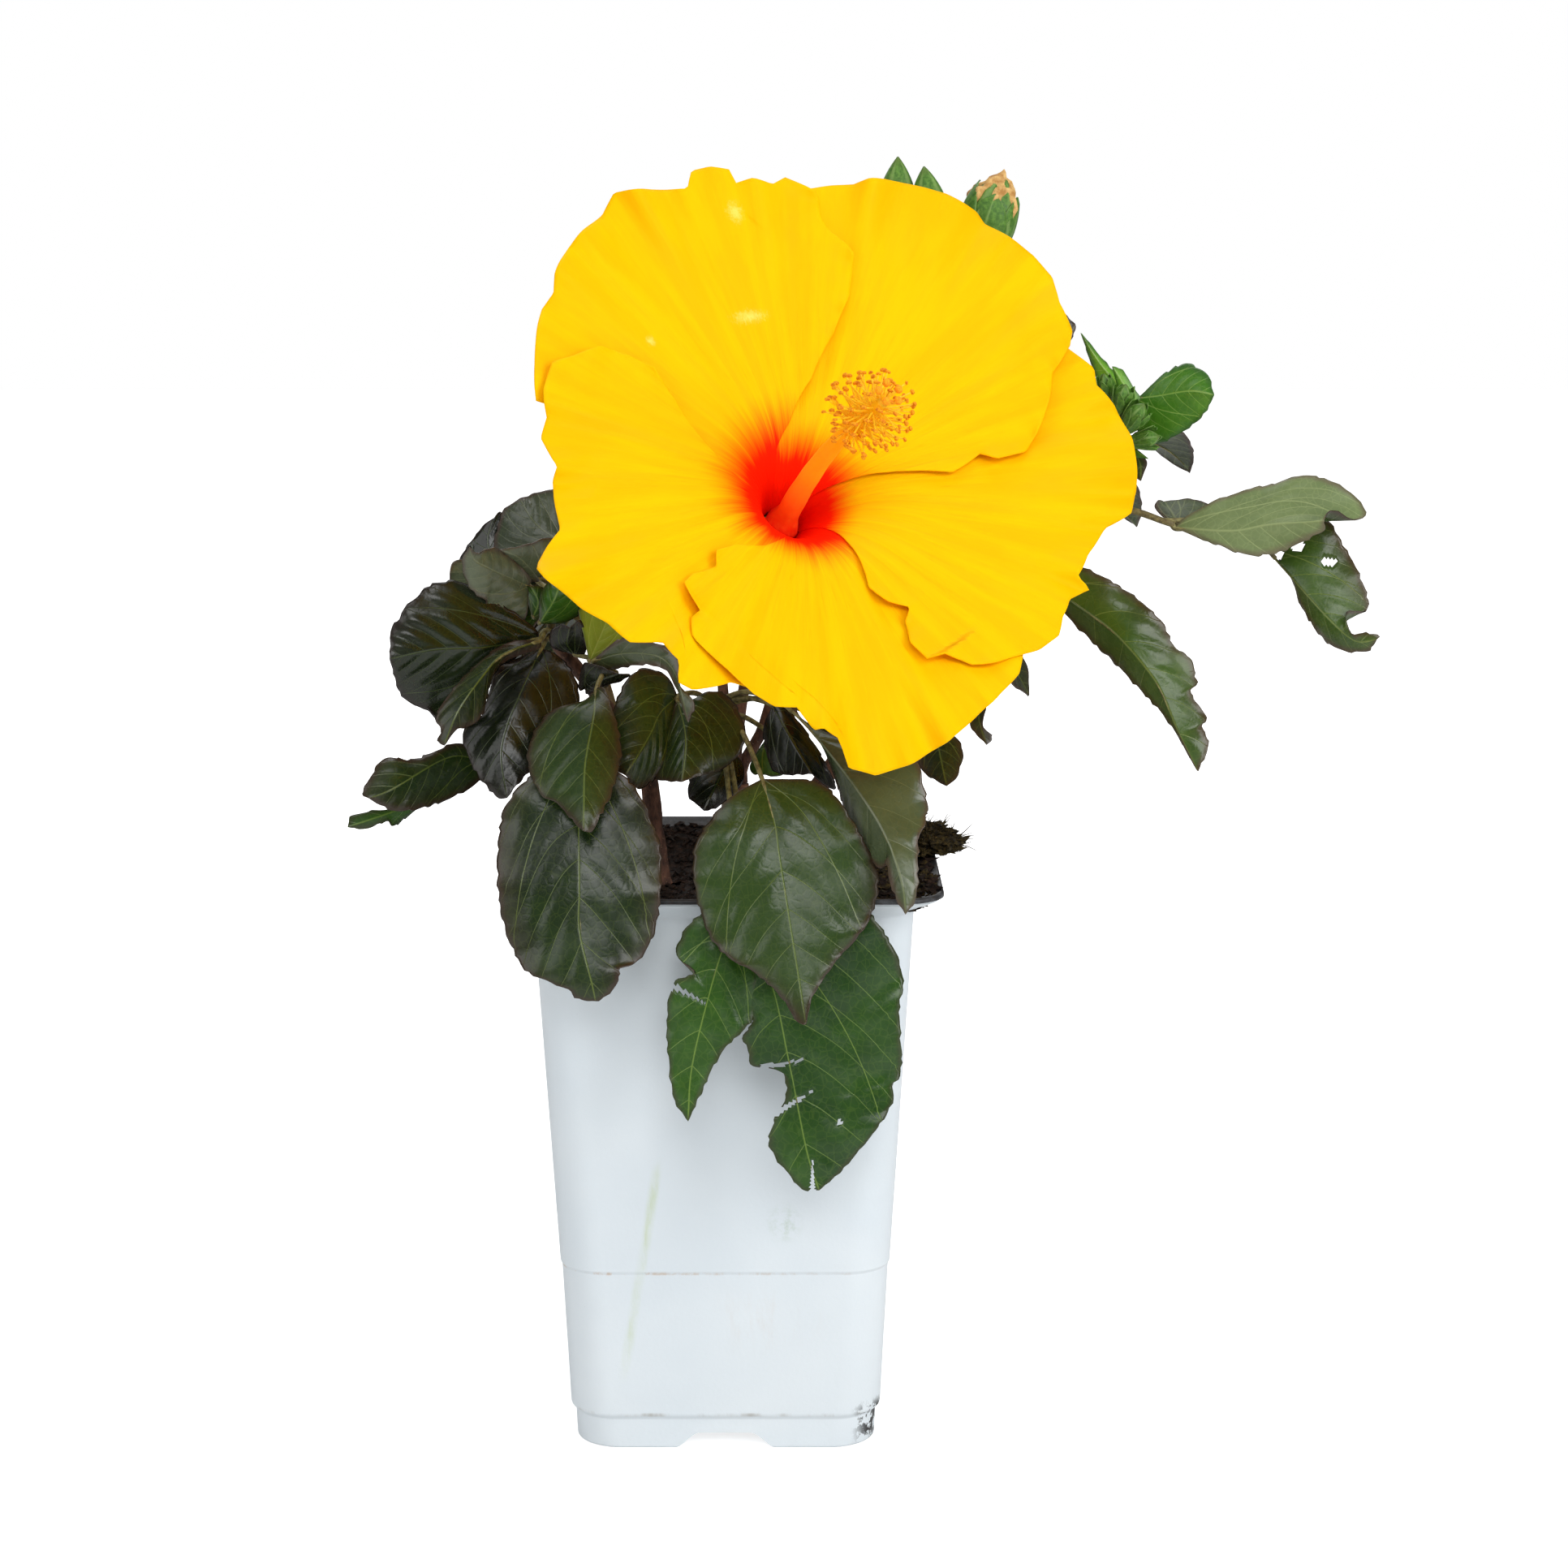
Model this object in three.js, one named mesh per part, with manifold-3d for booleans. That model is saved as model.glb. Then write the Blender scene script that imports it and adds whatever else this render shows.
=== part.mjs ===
// A potted hibiscus shrub: a square plastic pot of peat, three woody stems from one root with their
// boughs, leafy shoots, flower buds and one large open bloom. Millimetres, +Z up. The origin is the middle of
// the pot's flat underside, and the bloom looks out over the front, which is -Y.
import * as THREE from "three";
import { mergeVertices } from "three/addons/utils/BufferGeometryUtils.js";
import Module from "manifold-3d";

const wasm = await Module();
wasm.setup();

// ---------------------------------------------------------------- driving dimensions

const CLEARANCE = 0.3; // between pieces that rest on each other

const POT = {
  height: 181,
  footHalf: 47.2,
  footBand: 11.5, // height of the inset band that the pot stands on
  bodyHalf: 49, // just above the foot band
  ringHeight: 59, // the stacking ring, a shallow step round the body
  ringStep: 0.5,
  shoulderHalf: 58.3, // under the flared rim
  shoulderHeight: 173.5,
  rimHalf: 67,
  wall: 1.2,
  floor: 7.5,
  lining: 0.8, // the dark inner layer
  lip: 1.6, // how far the rim's edge turns down
  cornerRadius: 14,
  cornerSteps: 4,
};
const NOTCH = { depth: 16, topWidth: 15.5, baseWidth: 33, height: 5.3 };
const SOIL = { top: 172, lump: 4.5, rings: [0.3, 0.55, 0.75, 0.9] };

const STEM = { foot: SOIL.top + CLEARANCE, flare: 1.7, flareHeight: 0.1, sides: 7, steps: 8 };
const BOUGH = { sides: 6, steps: 6 };
// The top of the middle stem, and how far out its boughs stand on it.
const FORK = { at: [3, 0, 204], ring: 2.4 };
const TWIG = { sides: 4, steps: 4 };
const PETIOLE = { radius: 0.9, sides: 3, steps: 3, run: 0.07 }; // run: how far it goes on as the midrib
const BLADE = { thickness: 0.9, across: 2, along: 5, neck: 0.05 };

const BLOOM = {
  throat: [17, -45, 290],
  turn: 24.8, // degrees to the right of straight ahead
  rise: 34.2, // degrees above level
  petals: [[114, 109], [48, 119], [-14, 105], [-95, 106], [-170, 96]], // degrees round the axis, and length
  tubeRadius: 5.6,
  tubeAngle: 18, // degrees off the flower's axis, at the base and at the rim
  rimAngle: 82,
  bend: 46, // length over which it bends from one to the other
  halfSpan: 50, // degrees that half a petal covers
  overlap: 3.2, // how far one edge stands over the next petal
  ruffle: 4.5,
  thickness: 1.2,
};
const COLUMN = { length: 78, baseRadius: 3.3, tipRadius: 1.5, stamens: 18, filament: 13 };
const CALYX = { length: 33, neckRadius: 2, bellyRadius: 8.2, lobe: 13, gap: 1.4, wall: 1.2 };

const COLOURS = {
  pot: 0xdfe7ee,
  lining: 0x55565a,
  soil: 0x2a1c14,
  bark: 0x6b4a3a,
  leaf: 0x2f4a2a,
  petal: 0xffd500,
  column: 0xff8c1a,
  bud: 0x5f9140,
};

// ---------------------------------------------------------------- small tools

const vec = (p) => new THREE.Vector3(...p);
const radians = THREE.MathUtils.degToRad;
const smooth = (x) => THREE.MathUtils.smoothstep(x, 0, 1);

function seeded(seed) {
  let state = seed >>> 0;
  return () => {
    state = (state + 0x6d2b79f5) >>> 0;
    let t = state;
    t = Math.imul(t ^ (t >>> 15), t | 1);
    t ^= t + Math.imul(t ^ (t >>> 7), t | 61);
    return ((t ^ (t >>> 14)) >>> 0) / 4294967296;
  };
}

// Moves every vertex of a geometry to where place(x, y, z) says.
function warp(geometry, place) {
  const position = geometry.getAttribute("position");
  for (let i = 0; i < position.count; i++) {
    const p = place(position.getX(i), position.getY(i), position.getZ(i));
    position.setXYZ(i, p.x, p.y, p.z);
  }
  return geometry;
}

function solid(geometry) {
  const bare = geometry.index ? geometry.clone() : mergeVertices(geometry);
  bare.deleteAttribute("normal");
  bare.deleteAttribute("uv");
  const merged = mergeVertices(bare, 1e-4);
  return new wasm.Manifold(
    new wasm.Mesh({
      numProp: 3,
      vertProperties: new Float32Array(merged.attributes.position.array),
      triVerts: new Uint32Array(merged.index.array),
    }),
  );
}

function geometryOf(manifold) {
  const mesh = manifold.getMesh();
  const geometry = new THREE.BufferGeometry();
  geometry.setAttribute("position", new THREE.BufferAttribute(mesh.vertProperties, 3));
  geometry.setIndex(new THREE.BufferAttribute(mesh.triVerts, 1));
  return geometry;
}

// The largest body of a solid, without loose scraps or sealed hollows.
function largest(manifold) {
  return manifold.decompose().sort((a, b) => b.volume() - a.volume())[0];
}

function fuse(geometries) {
  const all = geometries.map(solid).reduce((sum, next) => sum.add(next));
  return geometryOf(largest(all));
}

const group = new THREE.Group();

function addNode(name, geometry, colour, roughness) {
  const material = new THREE.MeshStandardMaterial({ color: colour, roughness, metalness: 0 });
  const mesh = new THREE.Mesh(geometry, material);
  mesh.name = name;
  group.add(mesh);
}

// ---------------------------------------------------------------- pot and soil

// Lathes a closed profile of [half width, height] points and squares it off, with round corners.
function squareLathe(profile, cornerRadius = POT.cornerRadius) {
  const perCorner = POT.cornerSteps + 1;
  const segments = 4 * perCorner;
  const lathe = new THREE.LatheGeometry(profile.map(([r, z]) => new THREE.Vector2(r, z)), segments);
  return warp(lathe, (x, y, z) => {
    const half = Math.hypot(x, z);
    if (half < 1e-6) return new THREE.Vector3(0, 0, y);
    const turn = Math.atan2(x, z) / (2 * Math.PI);
    const index = ((Math.round(turn * segments) % segments) + segments) % segments;
    const radius = Math.min(cornerRadius, 0.9 * half);
    const corner = Math.floor(index / perCorner);
    const angle = (Math.PI / 2) * (corner + (index % perCorner) / POT.cornerSteps);
    const middle = Math.PI / 4 + (corner * Math.PI) / 2;
    const reach = (half - radius) * Math.SQRT2;
    return new THREE.Vector3(
      reach * Math.cos(middle) + radius * Math.cos(angle),
      reach * Math.sin(middle) + radius * Math.sin(angle),
      y,
    );
  });
}

// Half width of the pot's outside at a height, between the foot band and the shoulder.
function potHalf(z) {
  const share = (z - POT.footBand) / (POT.shoulderHeight - POT.footBand);
  return POT.bodyHalf + share * (POT.shoulderHalf - POT.bodyHalf);
}

function makePot() {
  const { wall, floor, ringHeight, ringStep, shoulderHeight, rimHalf, height, lining, lip } = POT;
  const inside = (z, depth) => [potHalf(z) - depth, z];
  const flangeTop = height - lining - 2 * CLEARANCE;
  const flangeHalf = rimHalf - lining - CLEARANCE;
  const outer = squareLathe([
    [0, 0],
    [POT.footHalf, 0],
    [POT.footHalf + 0.4, POT.footBand - 1.5],
    [POT.bodyHalf, POT.footBand],
    [potHalf(ringHeight) - ringStep, ringHeight - 0.5],
    [potHalf(ringHeight), ringHeight + 0.5],
    [POT.shoulderHalf, shoulderHeight],
    [flangeHalf, flangeTop - wall],
    [flangeHalf, flangeTop],
    inside(shoulderHeight + 0.7, wall),
    inside(ringHeight, wall + ringStep),
    inside(floor, wall + 2),
    [0, floor],
  ]);
  const gap = wall + CLEARANCE;
  const layer = gap + lining;
  const inner = squareLathe([
    [0, floor + CLEARANCE],
    inside(floor + CLEARANCE, gap + 2),
    inside(ringHeight, gap + ringStep),
    inside(shoulderHeight + 1.4, gap),
    [flangeHalf + CLEARANCE, height - lining],
    [flangeHalf + CLEARANCE, height - lip],
    [rimHalf, height - lip],
    [rimHalf, height - 0.6],
    [rimHalf - 0.6, height],
    inside(shoulderHeight + 2.2, layer),
    inside(ringHeight, layer + ringStep),
    inside(floor + CLEARANCE + lining, layer + 2),
    [0, floor + CLEARANCE + lining],
  ]);
  return { outer: geometryOf(notched(solid(outer))), inner };
}

// Cuts the drainage notch in the middle of each side of the foot.
function notched(foot) {
  const outline = new THREE.Shape([
    new THREE.Vector2(-NOTCH.baseWidth / 2, -1),
    new THREE.Vector2(NOTCH.baseWidth / 2, -1),
    new THREE.Vector2(NOTCH.baseWidth / 2, 0),
    new THREE.Vector2(NOTCH.topWidth / 2, NOTCH.height),
    new THREE.Vector2(-NOTCH.topWidth / 2, NOTCH.height),
    new THREE.Vector2(-NOTCH.baseWidth / 2, 0),
  ]);
  let result = foot;
  for (let side = 0; side < 4; side++) {
    const cutter = new THREE.ExtrudeGeometry(outline, { depth: 2 * NOTCH.depth, bevelEnabled: false });
    cutter.translate(0, 0, POT.footHalf - NOTCH.depth);
    cutter.rotateX(Math.PI / 2);
    cutter.rotateZ((side * Math.PI) / 2);
    result = result.subtract(solid(cutter));
  }
  return result;
}

const soilBottom = POT.floor + POT.lining + 2 * CLEARANCE;
const soilInset = POT.wall + POT.lining + 2 * CLEARANCE;
const soilHalf = (z) => potHalf(z) - soilInset;

// The peat: level round the stems, lumpy towards the rim, and heaped at the back.
function makeSoil() {
  const random = seeded(11);
  const edge = soilHalf(SOIL.top - 2);
  const top = [...SOIL.rings].reverse().map((share) => [share * edge, SOIL.top]);
  const profile = [
    [0, soilBottom],
    [soilHalf(soilBottom) - 2, soilBottom],
    [soilHalf(POT.ringHeight) - POT.ringStep, POT.ringHeight],
    [edge, SOIL.top - 1],
    ...top,
    [0, SOIL.top],
  ];
  const heights = new Map();
  return warp(squareLathe(profile), (x, y, z) => {
    const place = new THREE.Vector3(x, y, z);
    const out = Math.max(Math.abs(x), Math.abs(y)) / edge;
    if (z === SOIL.top && out > 0.6) {
      const key = `${x.toFixed(2)} ${y.toFixed(2)}`;
      if (!heights.has(key)) heights.set(key, SOIL.lump * (random() - 0.35 + Math.max(0, y / edge)));
      place.z += Math.max(-1, heights.get(key));
    }
    return place;
  });
}

// A lump of peat and moss that lies over the right-hand edge of the rim, clear of it and of the peat.
function makeClump(soil) {
  const random = seeded(5);
  const bumps = new Map();
  const blob = warp(new THREE.IcosahedronGeometry(1, 1), (x, y, z) => {
    const key = `${x.toFixed(3)} ${y.toFixed(3)} ${z.toFixed(3)}`;
    if (!bumps.has(key)) bumps.set(key, 0.8 + 0.4 * random());
    const size = bumps.get(key);
    return new THREE.Vector3(61 + 15 * x * size, 6 + 15 * y * size, 179 + 10 * z * size);
  });
  const rim = squareLathe([
    [0, 0],
    [POT.rimHalf + CLEARANCE, 0],
    [POT.rimHalf + CLEARANCE, POT.height + CLEARANCE],
    [POT.rimHalf - 0.6, POT.height + CLEARANCE],
    [soilHalf(POT.shoulderHeight) - CLEARANCE, POT.shoulderHeight + 2.5],
    [soilHalf(POT.shoulderHeight) - 2 * CLEARANCE, SOIL.top],
    [0, SOIL.top],
  ]);
  const above = solid(new THREE.BoxGeometry(60, 60, 60).translate(75, 6, 174.5 + 30));
  const peat = solid(soil).translate([0, 0, CLEARANCE]);
  return geometryOf(largest(solid(blob).subtract(solid(rim)).subtract(peat).intersect(above)));
}

// ---------------------------------------------------------------- stems, boughs and twigs

// A tapering round limb along a smooth curve, with flat ends. radius(t) runs from foot to tip.
function limb(points, radius, sides, steps) {
  const curve = new THREE.CatmullRomCurve3(points.map(vec));
  const frames = curve.computeFrenetFrames(steps);
  const cylinder = new THREE.CylinderGeometry(1, 1, 1, sides, steps);
  return warp(cylinder, (x, y, z) => {
    const t = y + 0.5;
    const step = Math.round(t * steps);
    return curve
      .getPointAt(t)
      .addScaledVector(frames.binormals[step], x * radius(t))
      .addScaledVector(frames.normals[step], z * radius(t));
  });
}

const taper = (from, to) => (t) => from + (to - from) * t;

// Every stem and bough with the line it follows, so that what grows from it can be seated on it.
const limbs = {};

// A stem that stands on the soil: its foot is flared and cut flat at ground level.
function addStem(name, [foot, ...rest], from, to) {
  const flare = (t) => 1 + (STEM.flare - 1) * Math.max(0, 1 - t / STEM.flareHeight) ** 2;
  const radius = (t) => taper(from, to)(t) * flare(t);
  const points = [[foot[0], foot[1], STEM.foot - 6], ...rest];
  const trunk = solid(limb(points, radius, STEM.sides, STEM.steps)).trimByPlane([0, 0, 1], STEM.foot);
  limbs[name] = { curve: new THREE.CatmullRomCurve3(points.map(vec)), radius };
  addNode(name, geometryOf(largest(trunk)), COLOURS.bark, 0.85);
}

// Where a limb starts, clear of the side of the limb it grows from.
function sideOf(name, share, toward, radius) {
  const parent = limbs[name];
  const centre = parent.curve.getPointAt(share);
  const direction = vec(toward).sub(centre).normalize();
  const lean = Math.abs(direction.dot(parent.curve.getTangentAt(share)));
  const reach = (parent.radius(share) + CLEARANCE + radius * lean) / Math.sqrt(1 - lean * lean);
  return centre.addScaledVector(direction, reach).toArray();
}

// The first points of what goes on from a limb's tip, clear of its flat end and in line with it.
function beyondTip(name) {
  const { curve } = limbs[name];
  const onward = (reach) => curve.getPointAt(1).addScaledVector(curve.getTangentAt(1), reach).toArray();
  return [onward(CLEARANCE + 0.05), onward(3)];
}

// The first points of a bough that stands on the fork, at an angle round it.
function onFork(degrees) {
  const [x, y, z] = FORK.at;
  const out = [FORK.ring * Math.cos(radians(degrees)), FORK.ring * Math.sin(radians(degrees))];
  return [0.35, 5].map((lift) => [x + out[0], y + out[1], z + lift]);
}

function addBough(name, points, from, to) {
  const radius = taper(from, to);
  limbs[name] = { curve: new THREE.CatmullRomCurve3(points.map(vec)), radius };
  addNode(name, limb(points, radius, BOUGH.sides, BOUGH.steps), COLOURS.bark, 0.85);
}

function addSideBough(name, parent, share, points, from, to) {
  addBough(name, [sideOf(parent, share, points[0], from), ...points], from, to);
}

// ---------------------------------------------------------------- leaves

// Share of the full half width at a share s of the blade's length: broad below the middle, and pointed.
const ovate = (s) => Math.max(BLADE.neck, Math.sin(Math.PI * s ** 0.82) ** 0.66);

// The blade's frame: along it, across it, and out of its upper face.
function bladeFrame(leaf) {
  const base = vec(leaf.base);
  const chord = vec(leaf.tip).sub(base);
  const length = chord.length();
  const along = chord.clone().normalize();
  const face = vec(leaf.face);
  const up = face.addScaledVector(along, -face.dot(along)).normalize();
  const across = along.clone().cross(up);
  return { base, along, across, up, length };
}

// A point of the blade, at share s of its length and t from -1 at one edge to 1 at the other.
function bladePoint(leaf, frame, s, t) {
  const half = (leaf.width / 2) * ovate(s);
  const fold = Math.tan(radians(leaf.fold ?? 10));
  const arch = (leaf.arch ?? 0.08) * frame.length * 4 * s * (1 - s);
  return frame.base
    .clone()
    .addScaledVector(frame.along, s * frame.length)
    .addScaledVector(frame.across, t * half)
    .addScaledVector(frame.up, arch + fold * Math.abs(t) * half);
}

function blade(leaf) {
  const frame = bladeFrame(leaf);
  const point = (s, t) => bladePoint(leaf, frame, s, t);
  const box = new THREE.BoxGeometry(1, 1, 1, BLADE.across, BLADE.along, 1);
  return warp(box, (x, y, z) => {
    const s = y + 0.5;
    const t = 2 * x;
    const lengthwise = point(Math.min(1, s + 0.02), 0).sub(point(Math.max(0, s - 0.02), 0)).normalize();
    const outward = frame.across.clone().cross(lengthwise).normalize();
    return point(s, t).addScaledVector(outward, z * BLADE.thickness);
  });
}

// The leaf stalk, from the twig to the blade, and a little way on under it as the midrib.
function petiole(leaf, twig) {
  const frame = bladeFrame(leaf);
  const start = twig.getPointAt(leaf.from);
  const end = frame.base.clone();
  const span = start.distanceTo(end);
  const middle = start.clone().lerp(end, 0.5);
  middle.z += 0.12 * span;
  const points = [start, middle, end, bladePoint(leaf, frame, PETIOLE.run, 0)];
  const radius = taper(1.15 * PETIOLE.radius, PETIOLE.radius);
  return limb(points.map((p) => p.toArray()), radius, PETIOLE.sides, PETIOLE.steps);
}

// A closed bud: a pointed egg of green sepals on a short stalk from the twig.
function bud(item, twig) {
  const base = vec(item.base);
  const axis = vec(item.tip).sub(base);
  const length = axis.length();
  const profile = [[0, 0], [0.6, 0.06], [0.95, 0.3], [1, 0.5], [0.72, 0.78], [0.14, 0.99], [0, 1]];
  const outline = profile.map(([r, h]) => new THREE.Vector2((r * item.width) / 2, h * length));
  const egg = new THREE.LatheGeometry(outline, 7);
  const upright = new THREE.Vector3(0, 1, 0);
  const lean = new THREE.Quaternion().setFromUnitVectors(upright, axis.clone().normalize());
  egg.applyQuaternion(lean);
  egg.translate(...item.base);
  const start = twig.getPointAt(item.from);
  const inside = base.clone().addScaledVector(axis, 0.15);
  const middle = start.clone().lerp(base, 0.5);
  middle.z -= 0.1 * start.distanceTo(base);
  const stalk = limb([start, middle, base, inside].map((p) => p.toArray()), taper(0.9, 1.3), 4, 4);
  return [egg, stalk];
}

// A shoot: one twig, going on from a bough's tip, with its leaves and buds fused on.
function addShoot(name, { on, twig, radius = [1.5, 1], leaves = [], buds = [] }) {
  const line = [...beyondTip(on), ...twig];
  const curve = new THREE.CatmullRomCurve3(line.map(vec));
  const geometry = fuse([
    limb(line, taper(...radius), TWIG.sides, TWIG.steps),
    ...leaves.flatMap((leaf) => [petiole(leaf, curve), blade(leaf)]),
    ...buds.flatMap((item) => bud(item, curve)),
  ]);
  addNode(name, geometry, COLOURS.leaf, 0.35);
}

// Leaves set round a twig by the shrub's own rule: each turned on from the last by the golden angle, folded
// into the shoot's own sector, the lower ones larger and hanging more. One that would leave the shoot's space
// is skipped.
const GOLDEN_ANGLE = 137.5;
function ruledLeaves({ on, twig, count, seed, sector, spread, size, inside }) {
  const random = seeded(seed);
  const curve = new THREE.CatmullRomCurve3([...beyondTip(on), ...twig].map(vec));
  const leaves = [];
  for (let i = 0; i < count; i++) {
    const from = (i + 0.7) / count;
    const swing = ((i * GOLDEN_ANGLE) % 360) / 180 - 1;
    const azimuth = radians(sector + spread * swing + 12 * (random() - 0.5));
    const length = size * (1.15 - 0.45 * from) * (0.9 + 0.2 * random());
    const rise = radians(30 + 25 * from);
    const hang = radians(62 - 62 * from + 14 * (random() - 0.5));
    const out = new THREE.Vector3(Math.cos(azimuth), Math.sin(azimuth), 0);
    const stalk = length * (0.42 - 0.15 * from);
    const base = curve.getPointAt(from).addScaledVector(out, stalk * Math.cos(rise));
    base.z += stalk * Math.sin(rise);
    const tip = base.clone().addScaledVector(out, length * Math.cos(hang));
    tip.z -= length * Math.sin(hang);
    const width = length * (0.62 + 0.1 * random());
    const leaf = {
      from,
      base: base.toArray(),
      tip: tip.toArray(),
      width,
      face: [0.5 * out.x, 0.5 * out.y, 0.9],
      arch: 0.1,
      fold: 12,
    };
    const frame = bladeFrame(leaf);
    const outline = [[0, 0], [0.35, 1], [0.35, -1], [0.7, 1], [0.7, -1], [1, 0]];
    if (outline.every(([s, t]) => inside(bladePoint(leaf, frame, s, t)))) leaves.push(leaf);
  }
  return leaves;
}

// ---------------------------------------------------------------- the bloom

// The flower's own frame: right, up and out along its axis, from the bottom of the throat.
function bloomFrame() {
  const turn = radians(BLOOM.turn);
  const rise = radians(BLOOM.rise);
  const level = Math.cos(rise);
  const out = new THREE.Vector3(Math.sin(turn) * level, -Math.cos(turn) * level, Math.sin(rise));
  const right = new THREE.Vector3(Math.cos(turn), Math.sin(turn), 0);
  const up = out.clone().cross(right);
  return { origin: vec(BLOOM.throat), right, up, out };
}
const flower = bloomFrame();

// A point at a distance from the flower's axis, an angle round it and a height along it.
function flowerPoint(distance, angle, height) {
  return flower.origin
    .clone()
    .addScaledVector(flower.right, distance * Math.cos(angle))
    .addScaledVector(flower.up, distance * Math.sin(angle))
    .addScaledVector(flower.out, height);
}

// A petal's midline: how far off the axis and how high it is at each millimetre of its length.
const midline = [[BLOOM.tubeRadius, 0]];
const longestPetal = Math.max(...BLOOM.petals.map(([, length]) => length));
for (let i = 0; i < longestPetal + 1; i++) {
  const angle = BLOOM.tubeAngle + (BLOOM.rimAngle - BLOOM.tubeAngle) * smooth((i + 0.5) / BLOOM.bend);
  const [distance, height] = midline[i];
  midline.push([distance + Math.sin(radians(angle)), height + Math.cos(radians(angle))]);
}
function onMidline(reach) {
  const low = Math.floor(reach);
  const mix = (k) => THREE.MathUtils.lerp(midline[low][k], midline[low + 1][k], reach - low);
  return [mix(0), mix(1)];
}

// A point of a petal, at share s from base to rim and t from -1, the edge that lies in front, to 1.
function petalPoint(index, s, t) {
  const rounded = 1 - 0.2 * Math.abs(t) ** 2.4;
  const u = s * rounded;
  const [turn, length] = BLOOM.petals[index];
  const [distance, height] = onMidline(Math.max(0, u) * length);
  const span = radians(BLOOM.halfSpan) * (0.82 + 0.18 * smooth(u * 1.6));
  const over = -t * BLOOM.overlap * smooth(u * 1.4);
  const long = 0.7 * Math.sin(2.2 * Math.PI * t + 1.3 * index);
  const short = 0.5 * Math.sin(4.3 * Math.PI * t + 2.1 * index);
  const ruffle = BLOOM.ruffle * u ** 3 * (long + short);
  return flowerPoint(distance, radians(turn) + t * span, height + over + ruffle);
}

function petal(index) {
  const box = new THREE.BoxGeometry(1, 1, 1, 8, 7, 1);
  return warp(box, (x, y, z) => {
    const s = y + 0.5;
    const t = 2 * x;
    const step = 0.03;
    const before = petalPoint(index, Math.max(0, s - step), t);
    const lengthwise = petalPoint(index, Math.min(1, s + step), t).sub(before);
    const crosswise = petalPoint(index, s, t + step).sub(petalPoint(index, s, t - step));
    const outward = crosswise.cross(lengthwise).normalize();
    return petalPoint(index, s, t).addScaledVector(outward, z * BLOOM.thickness);
  });
}

// The tube of joined filaments, with its stamens round the upper half and five stigmas at the tip.
function makeColumn() {
  const { length, baseRadius, tipRadius, stamens, filament } = COLUMN;
  const axisPoint = (t) => flowerPoint(3 * Math.sin(Math.PI * t), Math.PI / 2, 2 * CLEARANCE + length * t);
  const line = [0, 0.25, 0.5, 0.75, 1].map((t) => axisPoint(t).toArray());
  const pieces = [limb(line, taper(baseRadius, tipRadius), 8, 6)];
  const pin = (start, direction, reach, head) => {
    const points = [0, 0.6, 1].map((t) => start.clone().addScaledVector(direction, reach * t).toArray());
    pieces.push(limb(points, (t) => (t > 0.6 ? head : 0.45), 3, 2));
  };
  for (let i = 0; i < stamens; i++) {
    const share = i / (stamens - 1);
    const angle = radians(GOLDEN_ANGLE * i);
    const start = axisPoint(0.62 + 0.34 * share);
    const lean = radians(75 - 45 * share);
    const side = flowerPoint(1, angle, 0).sub(flower.origin);
    const direction = side.multiplyScalar(Math.sin(lean)).addScaledVector(flower.out, Math.cos(lean));
    pin(start, direction, filament * (0.85 + 0.3 * Math.abs(Math.sin(7 * i))), 1.1);
  }
  for (let i = 0; i < 5; i++) {
    const side = flowerPoint(1, radians(72 * i), 0).sub(flower.origin);
    const direction = side.multiplyScalar(0.5).addScaledVector(flower.out, 0.85).normalize();
    pin(axisPoint(0.99), direction, 6, 1.3);
  }
  return fuse(pieces);
}

// The green cup that holds the petals, its five pointed lobes, and the flower stalk to its bough's tip.
function makeCalyx(bough) {
  const { length, neckRadius, bellyRadius, lobe, gap, wall } = CALYX;
  const segments = 20;
  const floorRadius = BLOOM.tubeRadius + 1;
  const outside = (height, clear) => {
    const point = midline.find(([, h]) => h >= height);
    return point[0] + BLOOM.thickness + clear;
  };
  const profile = [
    [0, -length],
    [neckRadius, -length],
    [bellyRadius * 0.8, -length * 0.72],
    [bellyRadius, -length * 0.35],
    [floorRadius + wall + 1, -2 * CLEARANCE],
    [outside(lobe * 0.5, gap + wall), lobe * 0.5],
    [outside(lobe, gap + 0.8 * wall), lobe],
    [outside(lobe, gap), lobe],
    [outside(lobe * 0.5, gap), lobe * 0.5],
    [floorRadius + 0.4, -2 * CLEARANCE],
    [0, -2 * CLEARANCE],
  ];
  const lathe = new THREE.LatheGeometry(profile.map(([r, h]) => new THREE.Vector2(r, h)), segments);
  const cup = warp(lathe, (x, y, z) => {
    const angle = Math.atan2(x, z);
    const wave = 0.5 + 0.5 * Math.cos(5 * angle);
    const height = y > 0 ? y * (0.3 + 0.7 * wave) : y;
    const radius = Math.hypot(x, z);
    const drawnIn = y > 0 ? radius - (y - height) * 0.55 : radius;
    return flowerPoint(drawnIn, angle, height);
  });
  const neck = flowerPoint(0, 0, -length + 2).toArray();
  const behind = flowerPoint(0, 0, -length - 8).toArray();
  return fuse([cup, limb([...beyondTip(bough), behind, neck], taper(1.7, 1.9), 6, 6)]);
}

// ---------------------------------------------------------------- the plant, part by part

const pot = makePot();
const soil = makeSoil();
addNode("pot", pot.outer, COLOURS.pot, 0.35);
addNode("pot_lining", pot.inner, COLOURS.lining, 0.5);
addNode("soil", soil, COLOURS.soil, 1);
addNode("peat_clump", makeClump(soil), COLOURS.soil, 1);

const leftStem = [[-20, -2], [-23, -1, 190], [-25, -2, 207], [-40, -9, 234], [-52, -15, 251]];
addStem("stem_left", leftStem, 3.4, 2.1);
addStem("stem_centre", [[0, 2], [1, 1, 186], [3, 0, 196], FORK.at], 3.9, 4.4);
addStem("stem_right", [[18, 10], [22, 9, 188], [34, 9, 208], [60, 6, 243], [86, 3, 267]], 3.4, 1.9);

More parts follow.
